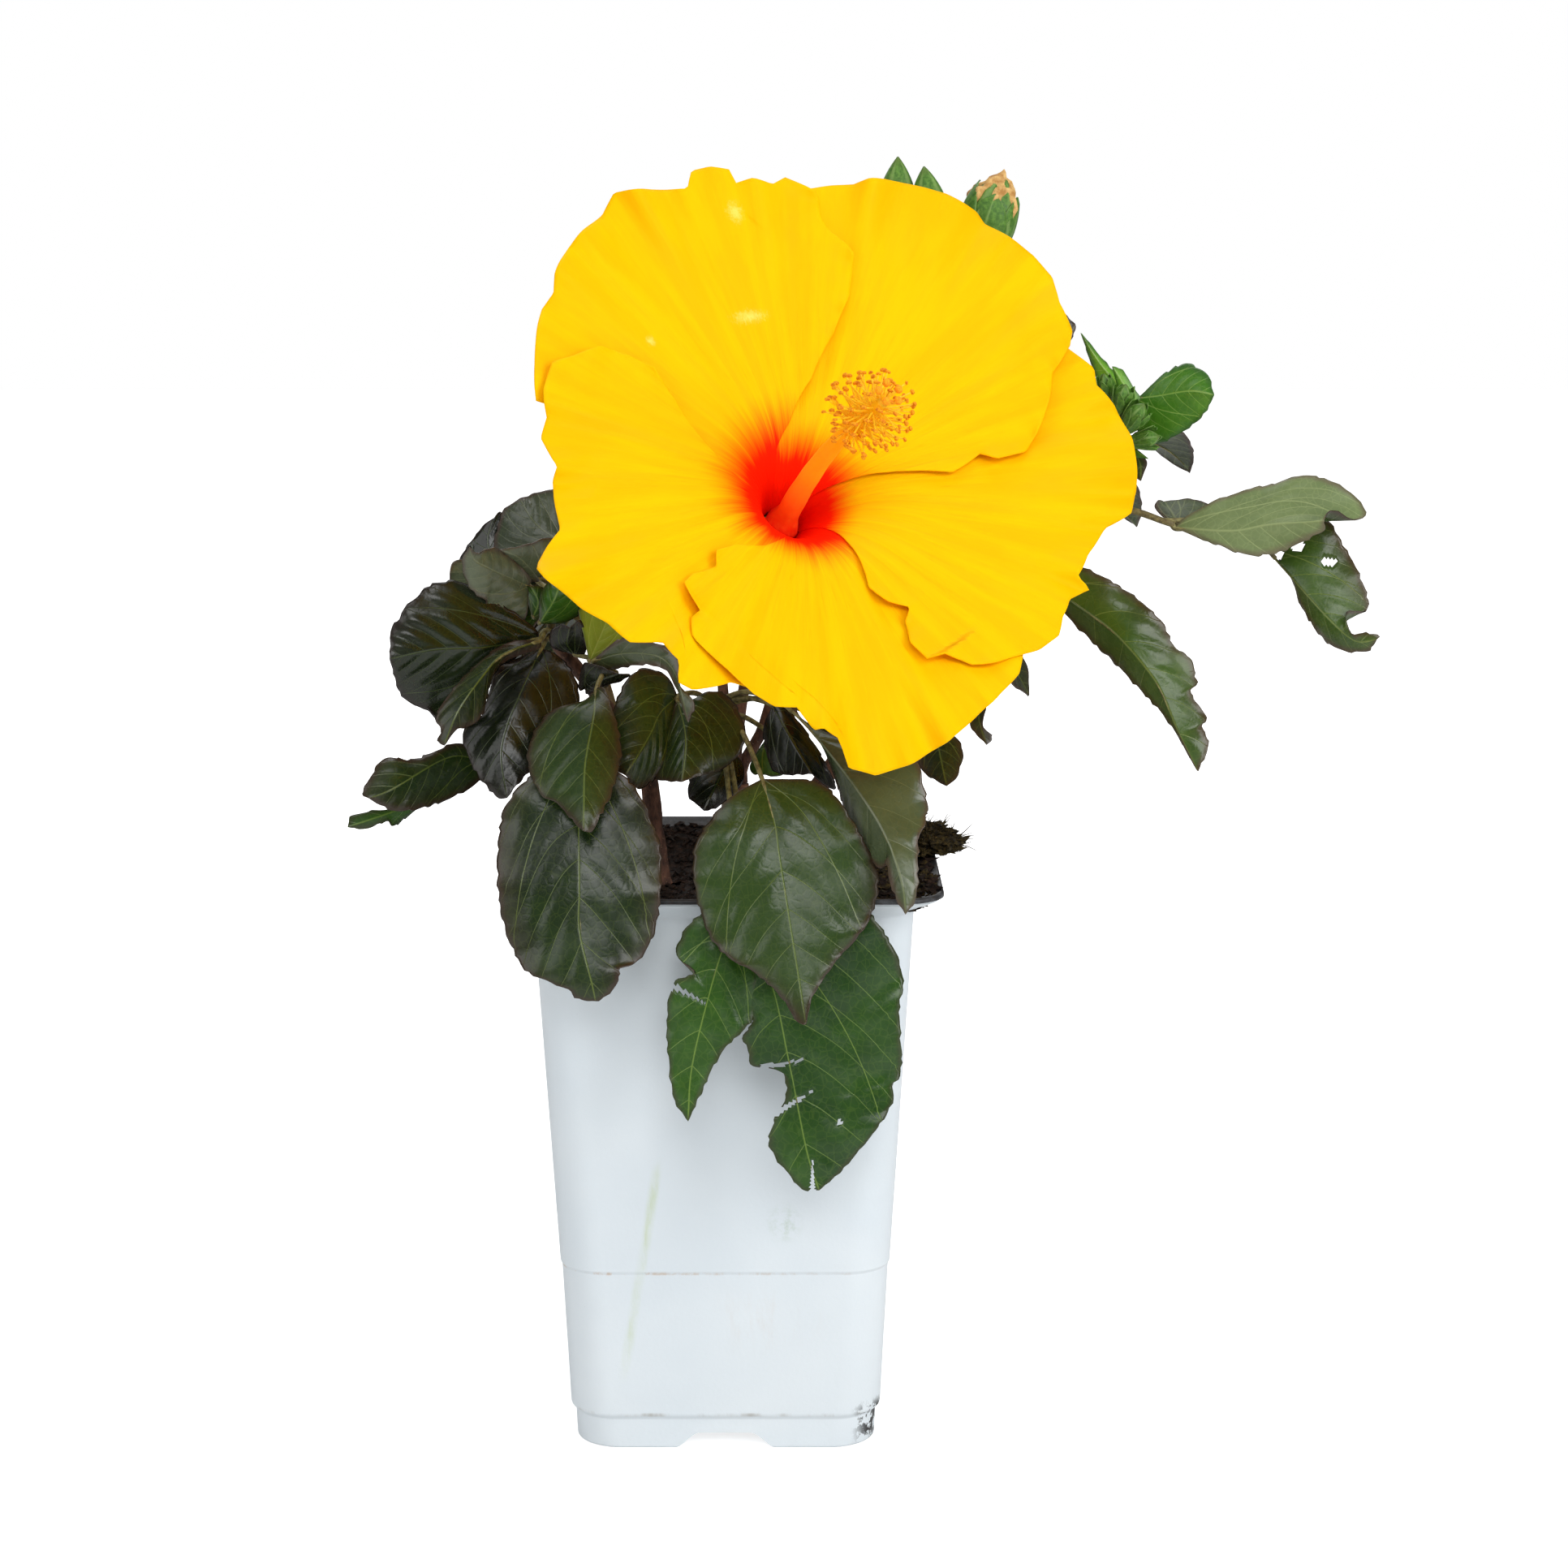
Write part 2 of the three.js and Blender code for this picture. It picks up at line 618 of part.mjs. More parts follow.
addBough("bough_bloom", [...onFork(-90), [5, -4, 230], [8, -3, 246]], 1.9, 1.8);
addBough("bough_buds", [...onFork(30), [12, 3, 222], [24, 10, 270], [47, 15, 330]], 1.9, 1.6);
addBough("bough_back", [...onFork(150), [-2, 24, 240], [-4, 38, 256]], 1.9, 1.5);
addSideBough("bough_left_inner", "stem_left", 0.8, [[-37, -19, 239], [-35, -25, 242]], 1.4, 1.2);
addSideBough("bough_left_lower", "stem_left", 0.6, [[-38, -14, 222], [-44, -20, 224]], 1.5, 1.3);
addSideBough("bough_back_left", "stem_left", 0.35, [[-35, 12, 222], [-42, 24, 244]], 1.7, 1.4);
addSideBough("bough_front", "bough_bloom", 0.35, [[1, -14, 224], [-1, -19, 228]], 1.4, 1.2);
addSideBough("bough_right_lower", "stem_right", 0.68, [[62, -8, 243], [64, -14, 245]], 1.4, 1.2);
addSideBough("bough_right_top", "stem_right", 0.9, [[90, 10, 276], [98, 11, 287]], 1.4, 1.2);
addSideBough("bough_back_right", "stem_right", 0.45, [[46, 24, 228], [54, 32, 252]], 1.7, 1.4);

const SHOOTS = {
  foliage_left_upper: {
    on: "stem_left",
    twig: [[-53, -16, 262], [-51, -13, 272]],
    leaves: [
      {
        from: 0.2, base: [-57, -25, 254], tip: [-101, -50, 246],
        width: 46, face: [-0.3, -0.85, 0.45], arch: 0.1,
      },
      {
        from: 0.1, base: [-58, -33, 252], tip: [-82, -62, 226],
        width: 24, face: [0.4, -0.8, 0.4], fold: 35,
      },
      { from: 0.1, base: [-50, -28, 251], tip: [-67, -60, 208], width: 36, face: [-0.3, -0.9, 0.2] },
      { from: 0.8, base: [-54, -8, 273], tip: [-77, 6, 294], width: 32, face: [-0.5, -0.8, 0.3] },
      { from: 0.6, base: [-61, 2, 266], tip: [-90, 18, 272], width: 28, face: [-0.3, -0.85, 0.4] },
      { from: 0.5, base: [-57, -26, 258], tip: [-77, -41, 281], width: 24, face: [-0.4, -0.8, -0.2] },
      {
        from: 0.9, base: [-52, -20, 276], tip: [-72, -34, 282],
        width: 17, face: [0.1, -0.6, 0.8], fold: 25,
      },
      {
        from: 0.3, base: [-49, -22, 256], tip: [-45, -29, 272],
        width: 15, face: [-0.2, -0.9, 0.1], fold: 30,
      },
    ],
  },
  foliage_left_inner: {
    on: "bough_left_inner",
    twig: [[-33, -30, 244]],
    radius: [1.2, 1],
    leaves: [
      {
        from: 0.9, base: [-34, -34, 247], tip: [-13, -53, 258],
        width: 26, face: [0.1, -0.75, 0.65], fold: 15,
      },
      {
        from: 0.8, base: [-26, -38, 246], tip: [-12, -61, 232],
        width: 20, face: [0.3, -0.7, 0.5], fold: 20,
      },
      {
        from: 0.6, base: [-35, -53, 242], tip: [-38, -86, 205],
        width: 32, face: [-0.15, -0.85, 0.4], fold: 20,
      },
    ],
  },
  foliage_left_lower: {
    on: "bough_left_lower",
    twig: [[-50, -26, 225]],
    radius: [1.3, 1],
    leaves: [
      {
        from: 0.9, base: [-45, -63, 221], tip: [-39, -82, 154],
        width: 50, face: [-0.1, -1, 0.15], arch: 0.06, fold: 4,
      },
      { from: 0.7, base: [-74, -24, 217], tip: [-110, -46, 206], width: 24, face: [0.1, -0.6, 0.75] },
      { from: 0.4, base: [-82, -6, 206], tip: [-116, -28, 196], width: 18, face: [0, -0.4, 0.9] },
    ],
  },
  foliage_front: {
    on: "bough_front",
    twig: [[-4, -24, 234]],
    radius: [1.2, 1],
    leaves: [
      {
        from: 0.6, base: [13, -66, 218], tip: [24, -91, 149],
        width: 54, face: [-0.1, -1, 0.15], arch: 0.06, fold: 5,
      },
      {
        from: 0.2, base: [17, -70, 186], tip: [27, -84, 97],
        width: 72, face: [0.1, -1, 0.1], arch: 0.04, fold: 3,
      },
      {
        from: 0.3, base: [8, -71, 186], tip: [-10, -82, 117],
        width: 30, face: [-0.1, -1, 0.1], arch: 0.05, fold: 5,
      },
      {
        from: 0.9, base: [-14, -35, 242], tip: [-13, -64, 208],
        width: 42, face: [0, -0.85, 0.5], arch: 0.12, fold: 5,
      },
      {
        from: 0.9, base: [18, -40, 236], tip: [54, -86, 181],
        width: 44, face: [0.35, -0.8, 0.45], fold: 22,
      },
      { from: 0.5, base: [22, -43, 216], tip: [39, -72, 175], width: 40, face: [0.2, -0.9, 0.3] },
      {
        from: 0.7, base: [14, -34, 238], tip: [32, -60, 204],
        width: 26, face: [-0.3, -0.8, 0.3], fold: 20,
      },
    ],
  },
  foliage_right_lower: {
    on: "bough_right_lower",
    twig: [[68, -20, 247]],
    radius: [1.2, 1],
    leaves: [
      { from: 0.4, base: [61, -20, 233], tip: [68, -45, 210], width: 17, face: [0, -0.9, 0.4] },
      { from: 0.6, base: [75, -18, 236], tip: [81, -25, 219], width: 6, face: [0, -0.9, 0.3] },
      {
        from: 0.9, base: [74, -24, 254], tip: [94, -24, 236],
        width: 22, face: [0.3, -0.4, 0.85], arch: 0.12,
      },
      { from: 0.95, base: [60, -24, 256], tip: [44, -34, 238], width: 24, face: [-0.2, -0.6, 0.8] },
    ],
  },
  foliage_far_right: {
    on: "stem_right",
    twig: [[104, -2, 281], [122, -9, 292], [139, -15, 288]],
    leaves: [
      {
        from: 0.3, base: [102, -20, 278], tip: [146, -45, 216],
        width: 30, face: [0.5, -0.6, 0.6], arch: 0.12, fold: 22,
      },
      { from: 0.2, base: [93, -22, 280], tip: [118, -34, 293], width: 26, face: [0.2, -0.5, 0.8] },
      {
        from: 0.98, base: [141, -15, 288], tip: [196, -34, 293],
        width: 30, face: [-0.1, 0.8, 0.5], arch: 0.1,
      },
      {
        from: 0.94, base: [148, -10, 284], tip: [200, -34, 251],
        width: 30, face: [0.4, -0.6, 0.7], arch: 0.2,
      },
      { from: 0.9, base: [138, -12, 290], tip: [133, 1, 297], width: 13, face: [-0.4, -0.6, 0.6] },
    ],
  },
  foliage_right_top: {
    on: "bough_right_top",
    twig: [[108, 8, 298], [118, 3, 307], [125, -1, 314]],
    radius: [1.2, 1],
    leaves: [
      {
        from: 0.97, base: [127, -1, 314], tip: [151, -15, 330],
        width: 26, face: [-0.3, -0.8, 0.5], arch: 0.06,
      },
      { from: 0.98, base: [125, 0, 318], tip: [111, 5, 347], width: 10, face: [-0.3, -0.9, 0] },
      { from: 0.5, base: [104, 14, 315], tip: [110, 25, 350], width: 18, face: [0.2, -0.9, 0.1] },
      { from: 0.8, base: [127, -3, 307], tip: [132, -8, 295], width: 10, face: [0.2, -0.9, 0.2] },
      {
        from: 0.2, base: [106, 24, 298], tip: [134, 44, 282],
        width: 30, face: [0.3, 0.4, 0.85], arch: 0.12,
      },
      {
        from: 0.6, base: [124, 18, 312], tip: [150, 38, 300],
        width: 26, face: [0.3, 0.3, 0.9], arch: 0.12,
      },
    ],
    buds: [
      { from: 0.97, base: [124, -4, 314], tip: [126, -14, 321], width: 7 },
      { from: 0.99, base: [122, -2, 318], tip: [118, -9, 328], width: 6 },
    ],
  },
  foliage_top: {
    on: "bough_buds",
    twig: [[56, 16, 350], [64, 14, 362]],
    leaves: [
      { from: 0.1, base: [38, 30, 338], tip: [8, 46, 326], width: 36, face: [-0.2, 0.3, 0.9], arch: 0.12 },
      { from: 0.3, base: [66, 32, 348], tip: [92, 54, 334], width: 34, face: [0.3, 0.3, 0.9], arch: 0.12 },
      { from: 0.5, base: [52, 34, 356], tip: [48, 66, 350], width: 32, face: [0, 0.4, 0.9], arch: 0.12 },
      { from: 0.7, base: [72, 24, 362], tip: [98, 34, 352], width: 26, face: [0.2, 0.1, 0.9], arch: 0.12 },
    ],
    buds: [
      { from: 0.7, base: [54, 15, 370], tip: [54, 15, 400], width: 12.5 },
      { from: 0.95, base: [66, 12, 368], tip: [62, 12, 397], width: 12.5 },
      { from: 0.97, base: [80, 9, 366], tip: [90, 4, 395], width: 17.5 },
    ],
  },
};
for (const [name, parts] of Object.entries(SHOOTS)) addShoot(name, parts);

const BACK_SHOOTS = {
  foliage_back: {
    on: "bough_back",
    twig: [[-6, 46, 272], [-7, 50, 296]],
    count: 14,
    seed: 21,
    sector: 90,
    spread: 90,
    size: 56,
    inside: (p) => p.x > -27 && p.x < 35 && p.y > 34 && p.z > 186,
  },
  foliage_back_left: {
    on: "bough_back_left",
    twig: [[-46, 30, 262], [-46, 33, 284]],
    count: 16,
    seed: 8,
    sector: 140,
    spread: 80,
    size: 50,
    inside: (p) => p.x < -28 && p.x > -110 + 0.85 * Math.max(0, p.z - 235) && p.y > 2 && p.z > 186,
  },
  foliage_back_right: {
    on: "bough_back_right",
    twig: [[58, 38, 270], [60, 40, 290]],
    count: 16,
    seed: 30,
    sector: 45,
    spread: 110,
    size: 50,
    inside: (p) => p.x > 36 && p.x < 64 + 0.75 * (p.z - 195) && p.y > 12 && p.z > 186,
  },
};
for (const [name, rule] of Object.entries(BACK_SHOOTS)) {
  addShoot(name, { ...rule, leaves: ruledLeaves(rule) });
}

addNode("bloom_petals", fuse(BLOOM.petals.map((_, index) => petal(index))), COLOURS.petal, 0.5);
addNode("bloom_column", makeColumn(), COLOURS.column, 0.5);
addNode("bloom_calyx", makeCalyx("bough_bloom"), COLOURS.bud, 0.6);

export default group;
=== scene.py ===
"""A potted hibiscus shrub with one large yellow bloom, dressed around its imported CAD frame. Metres, +Z up."""

import math
import random

import bpy
import numpy as np
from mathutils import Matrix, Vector, noise


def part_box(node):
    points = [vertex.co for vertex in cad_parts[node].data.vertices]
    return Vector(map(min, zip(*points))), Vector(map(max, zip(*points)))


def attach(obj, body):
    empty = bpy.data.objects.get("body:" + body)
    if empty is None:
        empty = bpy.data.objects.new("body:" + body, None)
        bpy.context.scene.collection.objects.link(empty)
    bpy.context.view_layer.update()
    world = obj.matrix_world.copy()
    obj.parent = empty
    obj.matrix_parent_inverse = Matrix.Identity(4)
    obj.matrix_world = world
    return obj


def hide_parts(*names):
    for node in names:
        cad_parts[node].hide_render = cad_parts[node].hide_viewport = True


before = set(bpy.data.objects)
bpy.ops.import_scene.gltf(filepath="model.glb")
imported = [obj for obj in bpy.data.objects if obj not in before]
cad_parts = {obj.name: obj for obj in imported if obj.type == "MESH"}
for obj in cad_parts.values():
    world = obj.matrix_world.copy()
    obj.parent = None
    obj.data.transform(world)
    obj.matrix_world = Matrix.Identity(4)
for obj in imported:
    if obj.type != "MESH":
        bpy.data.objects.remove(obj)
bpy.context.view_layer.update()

MM = 0.001
GOLDEN_ANGLE = 137.5
CLEARANCE = 0.3

# ---------------------------------------------------------------- small tools


def vec(*p):
    return np.array(p, float)


def polar(angle, reach=1.0, z=0.0):
    return vec(reach * math.cos(angle), reach * math.sin(angle), z)


def turned(x, y, angle):
    return x * math.cos(angle) - y * math.sin(angle), x * math.sin(angle) + y * math.cos(angle)


def unit(v):
    return v / max(1e-9, np.linalg.norm(v))


def lerp(a, b, t):
    return a + (b - a) * t


def smooth(x, low=0.0, high=1.0):
    x = np.clip((x - low) / (high - low), 0, 1)
    return x * x * (3 - 2 * x)


def seeded(seed):
    """The same generator as in the part's source."""
    state = seed & 0xFFFFFFFF

    def draw():
        nonlocal state
        state = (state + 0x6D2B79F5) & 0xFFFFFFFF
        t = state
        t = ((t ^ (t >> 15)) * (t | 1)) & 0xFFFFFFFF
        t ^= (t + ((t ^ (t >> 7)) * (t | 61))) & 0xFFFFFFFF
        return ((t ^ (t >> 14)) & 0xFFFFFFFF) / 4294967296

    return draw


class Curve:
    """A centripetal Catmull-Rom curve with arc length, as three.js draws it."""

    def __init__(self, points, divisions=200):
        self.points = [np.array(p, float) for p in points]
        samples = np.array([self.raw(i / divisions) for i in range(divisions + 1)])
        steps = np.linalg.norm(np.diff(samples, axis=0), axis=1)
        self.lengths = np.concatenate([[0], np.cumsum(steps)])
        self.length = self.lengths[-1]
        self.divisions = divisions

    def raw(self, t):
        pts = self.points
        count = len(pts)
        p = (count - 1) * t
        i = min(int(p), count - 2)
        w = p - i
        p1, p2 = pts[i], pts[i + 1]
        p0 = pts[i - 1] if i > 0 else 2 * pts[0] - pts[1]
        p3 = pts[i + 2] if i + 2 < count else 2 * pts[-1] - pts[-2]
        d0, d1, d2 = (max(1e-4, np.linalg.norm(b - a)) ** 0.5 for a, b in ((p0, p1), (p1, p2), (p2, p3)))
        m1 = ((p1 - p0) / d0 - (p2 - p0) / (d0 + d1) + (p2 - p1) / d1) * d1
        m2 = ((p2 - p1) / d1 - (p3 - p1) / (d1 + d2) + (p3 - p2) / d2) * d1
        return p1 + m1 * w + (-3 * p1 + 3 * p2 - 2 * m1 - m2) * w**2 + (2 * p1 - 2 * p2 + m1 + m2) * w**3

    def at(self, u):
        t = np.interp(u * self.length, self.lengths, np.linspace(0, 1, self.divisions + 1))
        return self.raw(t)

    def tangent(self, u):
        a, b = max(0, u - 1e-4), min(1, u + 1e-4)
        return unit(self.at(b) - self.at(a))


def placed(name, data):
    """A new object, linked to the scene."""
    item = bpy.data.objects.new(name, data)
    bpy.context.scene.collection.objects.link(item)
    return item


class Mesh:
    """Gathers vertices, faces and per-vertex values of many small forms into one piece."""

    def __init__(self):
        self.verts, self.faces, self.slots, self.values = [], [], [], {}
        self.count = 0

    def add(self, verts, faces, slot=0, **values):
        verts = np.asarray(verts, float).reshape(-1, 3)
        self.verts.append(verts)
        start = self.count
        self.faces.extend([tuple(int(i) + start for i in f) for f in faces])
        slots = [slot] * len(faces) if np.isscalar(slot) else list(slot)
        self.slots.extend(slots)
        for key in {**self.values, **values}:
            old = self.values.setdefault(key, [np.zeros(start)] if start else [])
            new = values.get(key, 0.0)
            old.append(np.full(len(verts), float(new)) if np.isscalar(new) else np.ravel(new))
        self.count += len(verts)

    def add_tube(self, *shape, slot=0):
        """Adds a limb whose share runs from 0 at its foot to 1 at its tip."""
        verts, faces, along = tube(*shape)
        self.add(verts, faces, slot, share=along)

    def build(self, name, materials, slot, replaces=(), smooth_faces=True):
        mesh = bpy.data.meshes.new(name)
        mesh.from_pydata((np.concatenate(self.verts) * MM).tolist(), [], self.faces)
        for material in materials:
            mesh.materials.append(material)
        mesh.polygons.foreach_set("material_index", np.array(self.slots, np.int32))
        mesh.polygons.foreach_set("use_smooth", np.full(len(self.faces), smooth_faces))
        for key, parts in self.values.items():
            attribute = mesh.attributes.new(key, "FLOAT", "POINT")
            attribute.data.foreach_set("value", np.concatenate(parts).astype(np.float32))
        mesh.update()
        piece = placed(name, mesh)
        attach(piece, "root")
        if replaces:
            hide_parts(*replaces)
        return piece


def ring_faces(rows, sides, inward=False):
    """Quads between closed rings of points, facing the other way where inward."""
    faces = []
    for i in range(rows):
        for k in range(sides):
            n = (k + 1) % sides
            a, b, c, d = i * sides + k, i * sides + n, (i + 1) * sides + n, (i + 1) * sides + k
            faces.append((a, d, c, b) if inward else (a, b, c, d))
    return faces


def end_faces(rows, sides, foot, tip):
    """Triangles that close the first ring round the point foot and the last ring round the point tip."""
    faces = []
    for k in range(sides):
        n = (k + 1) % sides
        faces += [(foot, n, k), (tip, rows * sides + k, rows * sides + n)]
    return faces


def ball(rows, sides):
    """Directions all round, ring by ring."""
    out = []
    for i in range(rows + 1):
        lean = math.pi * i / rows
        out += [polar(2 * math.pi * k / sides, math.sin(lean), math.cos(lean)) for k in range(sides)]
    return out


def taper(a, b):
    """A radius that runs evenly from a at the foot to b at the tip."""
    return lambda t: a + (b - a) * t


def tube(points, radius, sides=12, steps=24, relief=None):
    """Vertices and faces of a round limb along a smooth curve. radius(t) runs from foot to tip."""
    curve = points if isinstance(points, Curve) else Curve(points)
    centres = [curve.at(i / steps) for i in range(steps + 1)]
    tangents = [curve.tangent(i / steps) for i in range(steps + 1)]
    side = unit(np.cross(tangents[0], vec(0.3, 0.2, 1) if abs(tangents[0][2]) < 0.9 else vec(1, 0, 0)))
    verts, along = [], []
    for i, (centre, tangent) in enumerate(zip(centres, tangents)):
        side = unit(side - tangent * side.dot(tangent))
        other = np.cross(tangent, side)
        t = i / steps
        for k in range(sides):
            a = 2 * math.pi * k / sides
            r = radius(t) * (1 + (relief(t, a, curve.length) if relief else 0))
            verts.append(centre + r * (side * math.cos(a) + other * math.sin(a)))
            along.append(t)
    faces = ring_faces(steps, sides) + end_faces(steps, sides, len(verts), len(verts) + 1)
    return np.array([*verts, centres[0], centres[-1]]), faces, np.array([*along, 0, 1])


def doubled(values):
    """The values of a grid's points, for both skins of its sheet."""
    return {key: np.tile(np.ravel(value), 2) for key, value in values.items()}


def sheet(grid, thickness, keep=None, top=0, under=0):
    """A thin solid from a grid of points: upper and lower skins and the edge that joins them."""
    rows, columns = grid.shape[:2]
    du = np.gradient(grid, axis=0)
    dv = np.gradient(grid, axis=1)
    normal = np.cross(dv, du)
    normal /= np.maximum(1e-9, np.linalg.norm(normal, axis=2, keepdims=True))
    upper = grid + normal * thickness / 2
    lower = grid - normal * thickness / 2
    verts = np.concatenate([upper.reshape(-1, 3), lower.reshape(-1, 3)])
    offset = rows * columns
    faces, slots, edges = [], [], {}
    for i in range(rows - 1):
        for j in range(columns - 1):
            if keep is not None and not keep[i, j]:
                continue
            a, b = i * columns + j, i * columns + j + 1
            d, c = (i + 1) * columns + j, (i + 1) * columns + j + 1
            faces += [(a, b, c, d), (d + offset, c + offset, b + offset, a + offset)]
            slots += [top, under]
            for p, q in ((a, b), (b, c), (c, d), (d, a)):
                if edges.pop((q, p), None) is None:
                    edges[(p, q)] = True
    for p, q in edges:
        faces.append((q, p, p + offset, q + offset))
        slots.append(under)
    return verts, faces, slots


# ---------------------------------------------------------------- materials


def srgb(r, g, b):
    """A colour of the screen, 0 to 255, as the renderer's linear one with its alpha."""
    return *(c / 3294.6 if c <= 10.31 else ((c / 255 + 0.055) / 1.055) ** 2.4 for c in (r, g, b)), 1


class Value:
    """An output of a shader node, with its arithmetic."""

    def __init__(self, shader, socket):
        self.shader, self.socket = shader, socket

    def __add__(self, other):
        return self.shader.calc("ADD", self, other)

    def __sub__(self, other):
        return self.shader.calc("SUBTRACT", self, other)

    def __rsub__(self, other):
        return self.shader.calc("SUBTRACT", other, self)

    def __mul__(self, other):
        return self.shader.calc("MULTIPLY", self, other)

    def __truediv__(self, other):
        return self.shader.calc("DIVIDE", self, other)

    def __abs__(self):
        return self.shader.calc("ABSOLUTE", self)

    __radd__ = __add__
    __rmul__ = __mul__


class Shader:
    """A small builder for node materials."""

    def __init__(self, name, **principled):
        self.material = bpy.data.materials.new(name)
        self.material.use_nodes = True
        self.tree = self.material.node_tree
        self.bsdf = self.tree.nodes["Principled BSDF"]
        for key, value in principled.items():
            self.bsdf.inputs[key.replace("_", " ")].default_value = value

    def node(self, kind, inputs=(), output=0, **settings):
        """Adds a node, sets its inputs by name or number and gives one of its outputs."""
        node = self.tree.nodes.new(kind)
        for key, value in settings.items():
            setattr(node, key, value)
        for key, value in (inputs.items() if isinstance(inputs, dict) else enumerate(inputs)):
            self.put(node.inputs[key], value)
        return Value(self, node.outputs[output])

    def put(self, socket, value):
        """Links a value to a socket or sets a constant on it; three numbers are a colour of the screen."""
        if isinstance(value, Value):
            self.tree.links.new(value.socket, socket)
        elif value is not None:
            colour = socket.type == "RGBA" and len(value) == 3
            socket.default_value = srgb(*value) if colour else value

    def calc(self, operation, *values):
        return self.node("ShaderNodeMath", values, operation=operation)

    def attribute(self, name):
        return self.node("ShaderNodeAttribute", output="Fac", attribute_name=name)

    def place(self):
        return self.node("ShaderNodeTexCoord", output="Object")

    def scaled(self, vector, scale):
        return self.node("ShaderNodeMapping", {"Vector": vector, "Scale": scale})

    def joined(self, x, y):
        return self.node("ShaderNodeCombineXYZ", (x, y, 0.0))

    def noise(self, scale, detail=3.0, roughness=0.55, vector=None, distortion=0.0):
        inputs = {"Vector": vector or self.place(), "Scale": scale, "Detail": detail, "Roughness": roughness,
                  "Distortion": distortion}
        return self.node("ShaderNodeTexNoise", inputs, "Fac")

    def cells(self, scale, vector, feature="DISTANCE_TO_EDGE"):
        inputs = {"Vector": vector, "Scale": scale}
        return self.node("ShaderNodeTexVoronoi", inputs, "Distance", feature=feature)

    def range(self, value, low, high, to_low=0.0, to_high=1.0):
        inputs = {"Value": value, "From Min": low, "From Max": high, "To Min": to_low, "To Max": to_high}
        return self.node("ShaderNodeMapRange", inputs, interpolation_type="SMOOTHSTEP")

    def mix(self, share, a, b):
        """Colour a, or b where share is 1. The node's colours are its inputs 6 and 7 and its output 2."""
        return self.node("ShaderNodeMix", {"Factor": share, 6: a, 7: b}, 2, data_type="RGBA")

    def bump(self, height, strength, distance):
        return self.node("ShaderNodeBump", {"Strength": strength, "Distance": distance, "Height": height})

    def finish(self, colour=None, roughness=None, normal=None):
        for key, value in (("Base Color", colour), ("Roughness", roughness), ("Normal", normal)):
            self.put(self.bsdf.inputs[key], value)
        return self.material


def vein_lines(s, width):
    """1 on the leaf's veins: midrib, side veins and the two veins that spread from the base."""
    phase = s.attribute("vein_phase")
    spacing = s.attribute("vein_gap")
    mid = s.attribute("from_midrib")
    off = abs(s.calc("FRACT", phase) - 0.5)
    side = (0.5 - off) * spacing
    basal = abs(s.attribute("from_basal"))
    thick = s.range(mid, 0.0, 0.75 * width, 1.0, 0.0)
    thin = s.range(side, 0.0, 0.5 * width, 1.0, 0.0)
    spread = s.range(basal, 0.0, 0.5 * width, 1.0, 0.0)
    return s.calc("MAXIMUM", thick, s.calc("MAXIMUM", thin * 0.8, spread))


def leaf_material(name, dark, light, vein, margin, rough, shine, flush=None):
    under = name.startswith("under")
    s = Shader("leaf_" + name, Specular_IOR_Level=shine)
    place = s.place()
    tint = s.attribute("tint")
    clouds = s.noise(45, 4, 0.6, place)
    blotch = clouds * 0.9 + tint * 0.5
    colour = s.mix(s.range(blotch, 0.3, 1.05), dark, light)
    net = s.cells(420, place)
    colour = s.mix(s.range(net, 0.0, 0.09, 0.2 if under else 0.07, 0.0), colour, vein)
    lines = vein_lines(s, 0.85 if under else 0.5)
    colour = s.mix(lines * (0.7 if under else 0.5), colour, vein)
    edge = s.range(s.attribute("from_margin") + clouds * 2.5, 1.2, 3.6, 0.85, 0.0)
    colour = s.mix(edge, colour, margin)
    if flush:
        far = s.attribute("from_margin") + s.noise(24, 2, 0.5, place) * 22
        colour = s.mix(s.range(far, 8, 20, 0.5, 0.0), colour, flush)
    pits = s.noise(900, 2, 0.6, place)
    height = s.range(net, 0.0, 0.25, 0.0, 0.25) + pits * 0.2
    height = height + lines * 1.2 if under else height - lines * 1.2
    gloss = s.range(s.noise(70, 3, 0.6, place), 0.3, 0.75, rough - 0.05, rough + 0.1)
    return s.finish(colour, gloss, s.bump(height, 0.2, 0.0003))


# Kinds of leaf: dark and light green, veins, margin, roughness, shine, and a flush near the margin.
LEAF_LOOKS = {
    "dark": ((12, 17, 8), (30, 42, 20), (80, 96, 48), (34, 20, 20), 0.22, 0.42, (40, 34, 28)),
    "top": ((20, 34, 12), (46, 68, 26), (120, 136, 62), (54, 32, 30), 0.25, 0.4, (60, 52, 36)),
    "green": ((26, 56, 14), (60, 100, 28), (136, 162, 74), (50, 54, 28), 0.26, 0.4),
    "green2": ((36, 60, 16), (72, 98, 32), (138, 150, 74), (70, 48, 34), 0.24, 0.42, (70, 60, 40)),
    "bright": ((54, 106, 20), (108, 162, 46), (160, 194, 90), (48, 88, 32), 0.3, 0.4),
    "young": ((88, 118, 28), (128, 150, 50), (164, 178, 92), (88, 104, 36), 0.36, 0.4),
    # A lit copy of the leaf colour, paler and greyer: it paints a broad highlight into the leaves that take it.
    "greyed": ((50, 62, 38), (86, 98, 66), (124, 134, 92), (80, 60, 52), 0.22, 0.55),
    # A lit copy of the leaf colour, paler and greyer: it paints a satin sheen into the leaves that take it.
    "grey": ((52, 62, 42), (88, 98, 74), (122, 130, 98), (70, 54, 48), 0.25, 0.5),
    "under_dark": ((46, 56, 38), (80, 92, 66), (118, 128, 88), (70, 52, 48), 0.45, 0.35),
    "under": ((76, 94, 52), (110, 126, 78), (144, 156, 102), (96, 86, 66), 0.45, 0.35),
}
LEAF_MATERIALS = [leaf_material(name, *look) for name, look in LEAF_LOOKS.items()]
LEAF_SLOT = {name: index for index, name in enumerate(LEAF_LOOKS)}


